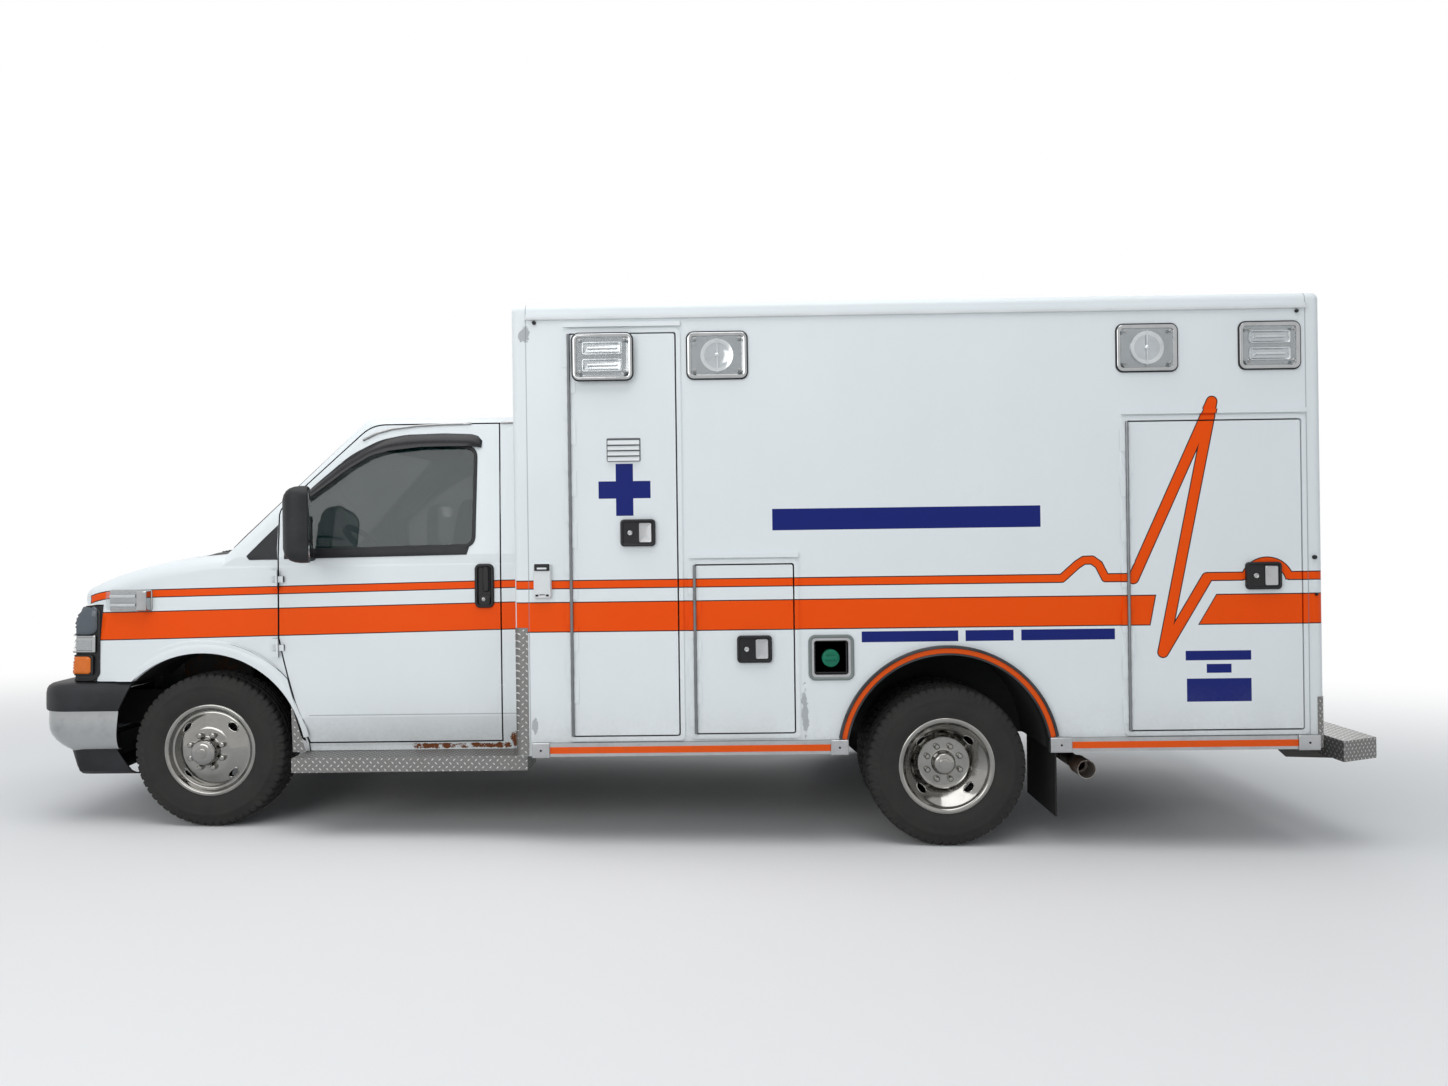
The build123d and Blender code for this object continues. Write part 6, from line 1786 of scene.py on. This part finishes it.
# Seats: foam under dark woven cloth. Each pad is blown up a little by the cloth simulation
# from a slightly smaller form, then its sewn channels are pressed in. The right seat is the
# left one's mirror image.
SEAT_Y = -480
CLOTH_STEPS = 20
WEAVE = 2100
BACK_LEAN = np.array([0.2205, 0, 0.9754])
BACK = np.array([(0, 1, 0), BACK_LEAN, (-BACK_LEAN[2], 0, BACK_LEAN[0])])
TOP = np.array([(1, 0, 0), (0, 1, 0), (0, 0, 1)], float)


def baked(pad):
    """The pad's mesh with its modifiers applied."""
    return bpy.data.meshes.new_from_object(pad.evaluated_get(bpy.context.evaluated_depsgraph_get()))


def blown(part, voxel, cap, pressure=4.0, rest=None):
    """The part remeshed evenly, blown up as cloth from inside with no point moved further than
    cap, and subdivided once. Points under rest keep their height."""
    vertices, faces = part
    mesh = bpy.data.meshes.new("pad")
    mesh.from_pydata((np.asarray(vertices) / 1000).tolist(), [], faces)
    pad = bpy.data.objects.new("pad", mesh)
    bpy.context.scene.collection.objects.link(pad)
    remesh = pad.modifiers.new("even", "REMESH")
    remesh.mode = "VOXEL"
    remesh.voxel_size = voxel / 1000
    pad.data = baked(pad)
    pad.modifiers.clear()
    start = np.array([v.co[:] for v in pad.data.vertices])
    cloth = pad.modifiers.new("foam", "CLOTH")
    cloth.settings.quality = 3
    cloth.settings.use_pressure = True
    cloth.settings.uniform_pressure_force = pressure
    cloth.settings.effector_weights.gravity = 0
    cloth.collision_settings.use_collision = False
    for step in range(1, CLOTH_STEPS + 1):
        bpy.context.scene.frame_set(step)
    swollen = pad.evaluated_get(bpy.context.evaluated_depsgraph_get()).data
    end = np.array([v.co[:] for v in swollen.vertices])
    pad.modifiers.clear()
    bpy.context.scene.frame_set(1)
    move = end - start
    length = np.linalg.norm(move, axis=1)[:, None] + 1e-9
    move *= np.minimum(1.0, cap / 1000 / length)
    if rest is not None:
        move[start[:, 2] < rest / 1000] *= (1, 1, 0)
    for vertex, place in zip(pad.data.vertices, start + move):
        vertex.co = place
    smooth = pad.modifiers.new("round", "SUBSURF")
    smooth.levels = 1
    done = baked(pad)
    points = np.array([v.co[:] for v in done.vertices]) * 1000
    polygons = [list(p.vertices) for p in done.polygons]
    bpy.data.objects.remove(pad)
    return points, polygons


def pressed(part, origin, board, seams, width, depth):
    """Sewn seams pressed into a pad's face: seams are lines (point, direction) or borders
    (half width, half height, radius) on the board, and each pulls the face in."""
    points, polygons = part
    across, rise, out = board
    from_origin = points - origin
    a, b, c = from_origin @ across, from_origin @ rise, from_origin @ out
    pull = np.zeros(len(points))
    for kind, *values in seams:
        if kind == "line":
            (pa, pb), (da, db), reach = values
            distance = np.abs((a - pa) * db - (b - pb) * da)
            run = np.abs((a - pa) * da + (b - pb) * db)
            near = np.exp(-((distance / width) ** 2)) * np.clip((reach - run) / 12, 0, 1)
        else:
            half_a, half_b, radius = values
            qa, qb = np.abs(a) - half_a + radius, np.abs(b) - half_b + radius
            beyond = np.hypot(np.maximum(qa, 0), np.maximum(qb, 0))
            edge = beyond + np.minimum(np.maximum(qa, qb), 0) - radius
            near = np.exp(-((edge / width) ** 2))
        pull = np.maximum(pull, near)
    facing = np.clip((c - np.percentile(c, 50)) / 15, 0, 1)
    return points - (pull * depth * facing)[:, None] * out, polygons


finish = Finish("seat_cloth")
where, x, y, z = finish.place()
warp, weft, across = ((part * WEAVE).math("SINE") for part in (x, y, z))
cloud = finish.noise(where, 9.0, 4.0, 0.6)
nap = finish.noise(where, 500.0, 2.0, 0.5)
tone = cloud.mix((0.025, 0.029, 0.037), (0.05, 0.056, 0.066))
weave = warp * weft + across * 0.6
seat_cloth = finish.shade(tone, 0.82 + nap * 0.12, weave * 0.5 + nap, 0.0006, specular=0.2)

cushion_at = np.array([-2676.0, SEAT_Y, 962.0])
cushion_form = [(22, 2), (8, 8), (2, 26), (2, 66), (9, 92), (26, 104), (60, 110), (120, 113)]
cushion = blown(plate(cushion_at, TOP, (492, 462), 62, cushion_form, 8), 10, 10, rest=970)
channels = [("line", (a, 0), (0, 1), 150) for a in (-110, -20, 70)]
cushion = pressed(cushion, cushion_at, TOP, [("border", 178, 168, 40), *channels], 7, 7)

back_at = np.array([-2334.0, SEAT_Y, 1366.0])
back_form = [(22, 3), (8, 8), (2, 24), (2, 56), (9, 74), (28, 84), (60, 88), (110, 88)]
back = blown(plate(back_at, BACK, (462, 528), 74, back_form, 8), 10, 10)
channels = [("line", (0, b), (1, 0), 140) for b in (-150, -60, 30, 120)]
back = pressed(back, back_at, BACK, [("border", 165, 205, 46), *channels], 7, 7)

head_at = np.array([-2262.0, SEAT_Y, 1730.0])
head_form = [(18, 2), (6, 7), (1, 20), (1, 44), (6, 58), (20, 66), (44, 69)]
head = blown(plate(head_at, BACK, (268, 138), 46, head_form, 8), 8, 5)
head = pressed(head, head_at, BACK, [("border", 108, 44, 26)], 5, 4)

posts = [tube([(-2308, SEAT_Y + d, 1625), (-2306, SEAT_Y + d, 1690)], 6.5, 10) for d in (-52, 52)]
base = [bar((-2876, -2484), (SEAT_Y - 176, SEAT_Y + 176), (700, 900), 8)]
base += [bar((-2890, -2470), sorted((SEAT_Y + d, SEAT_Y + d + 34)), (900, 930), 4) for d in (-170, 136)]
base += [bar((-2900, -2450), (SEAT_Y - 190, SEAT_Y + 190), (930, 962), 8)]
for name, part, fill in (("cushion", cushion, 0.7), ("back", back, 0.7), ("headrest", head, 0.8)):
    for word, shape in (("left", part), ("right", mirrored(part))):
        made = piece(f"seat_{word}_{name}", [shape], seat_cloth, "body", 60)
piece("seat_posts", both(posts), dull_chrome, "body")
made = piece("seat_bases", both(base), black_plastic, "body")
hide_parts("cab_seats")

# Squad bench: a vinyl pad on the bench's lid, with a pressed border and two pressed seams
# that part it into three seats.
bench_at = np.array([80.0, 890.0, 1180.0])
bench_form = [(14, -1), (4, 3), (0, 16), (2, 32), (12, 42), (34, 47)]
bench = blown(plate(bench_at, TOP, (1420, 500), 40, bench_form, 6), 16, 8, rest=1184)
channels = [("line", (a, 0), (0, 1), 260) for a in (-237, 237)]
bench = pressed(bench, bench_at, TOP, [*channels, ("border", 680, 222, 30)], 8, 7)
made = piece("bench_pad", [bench], seat_vinyl, "body", 60)
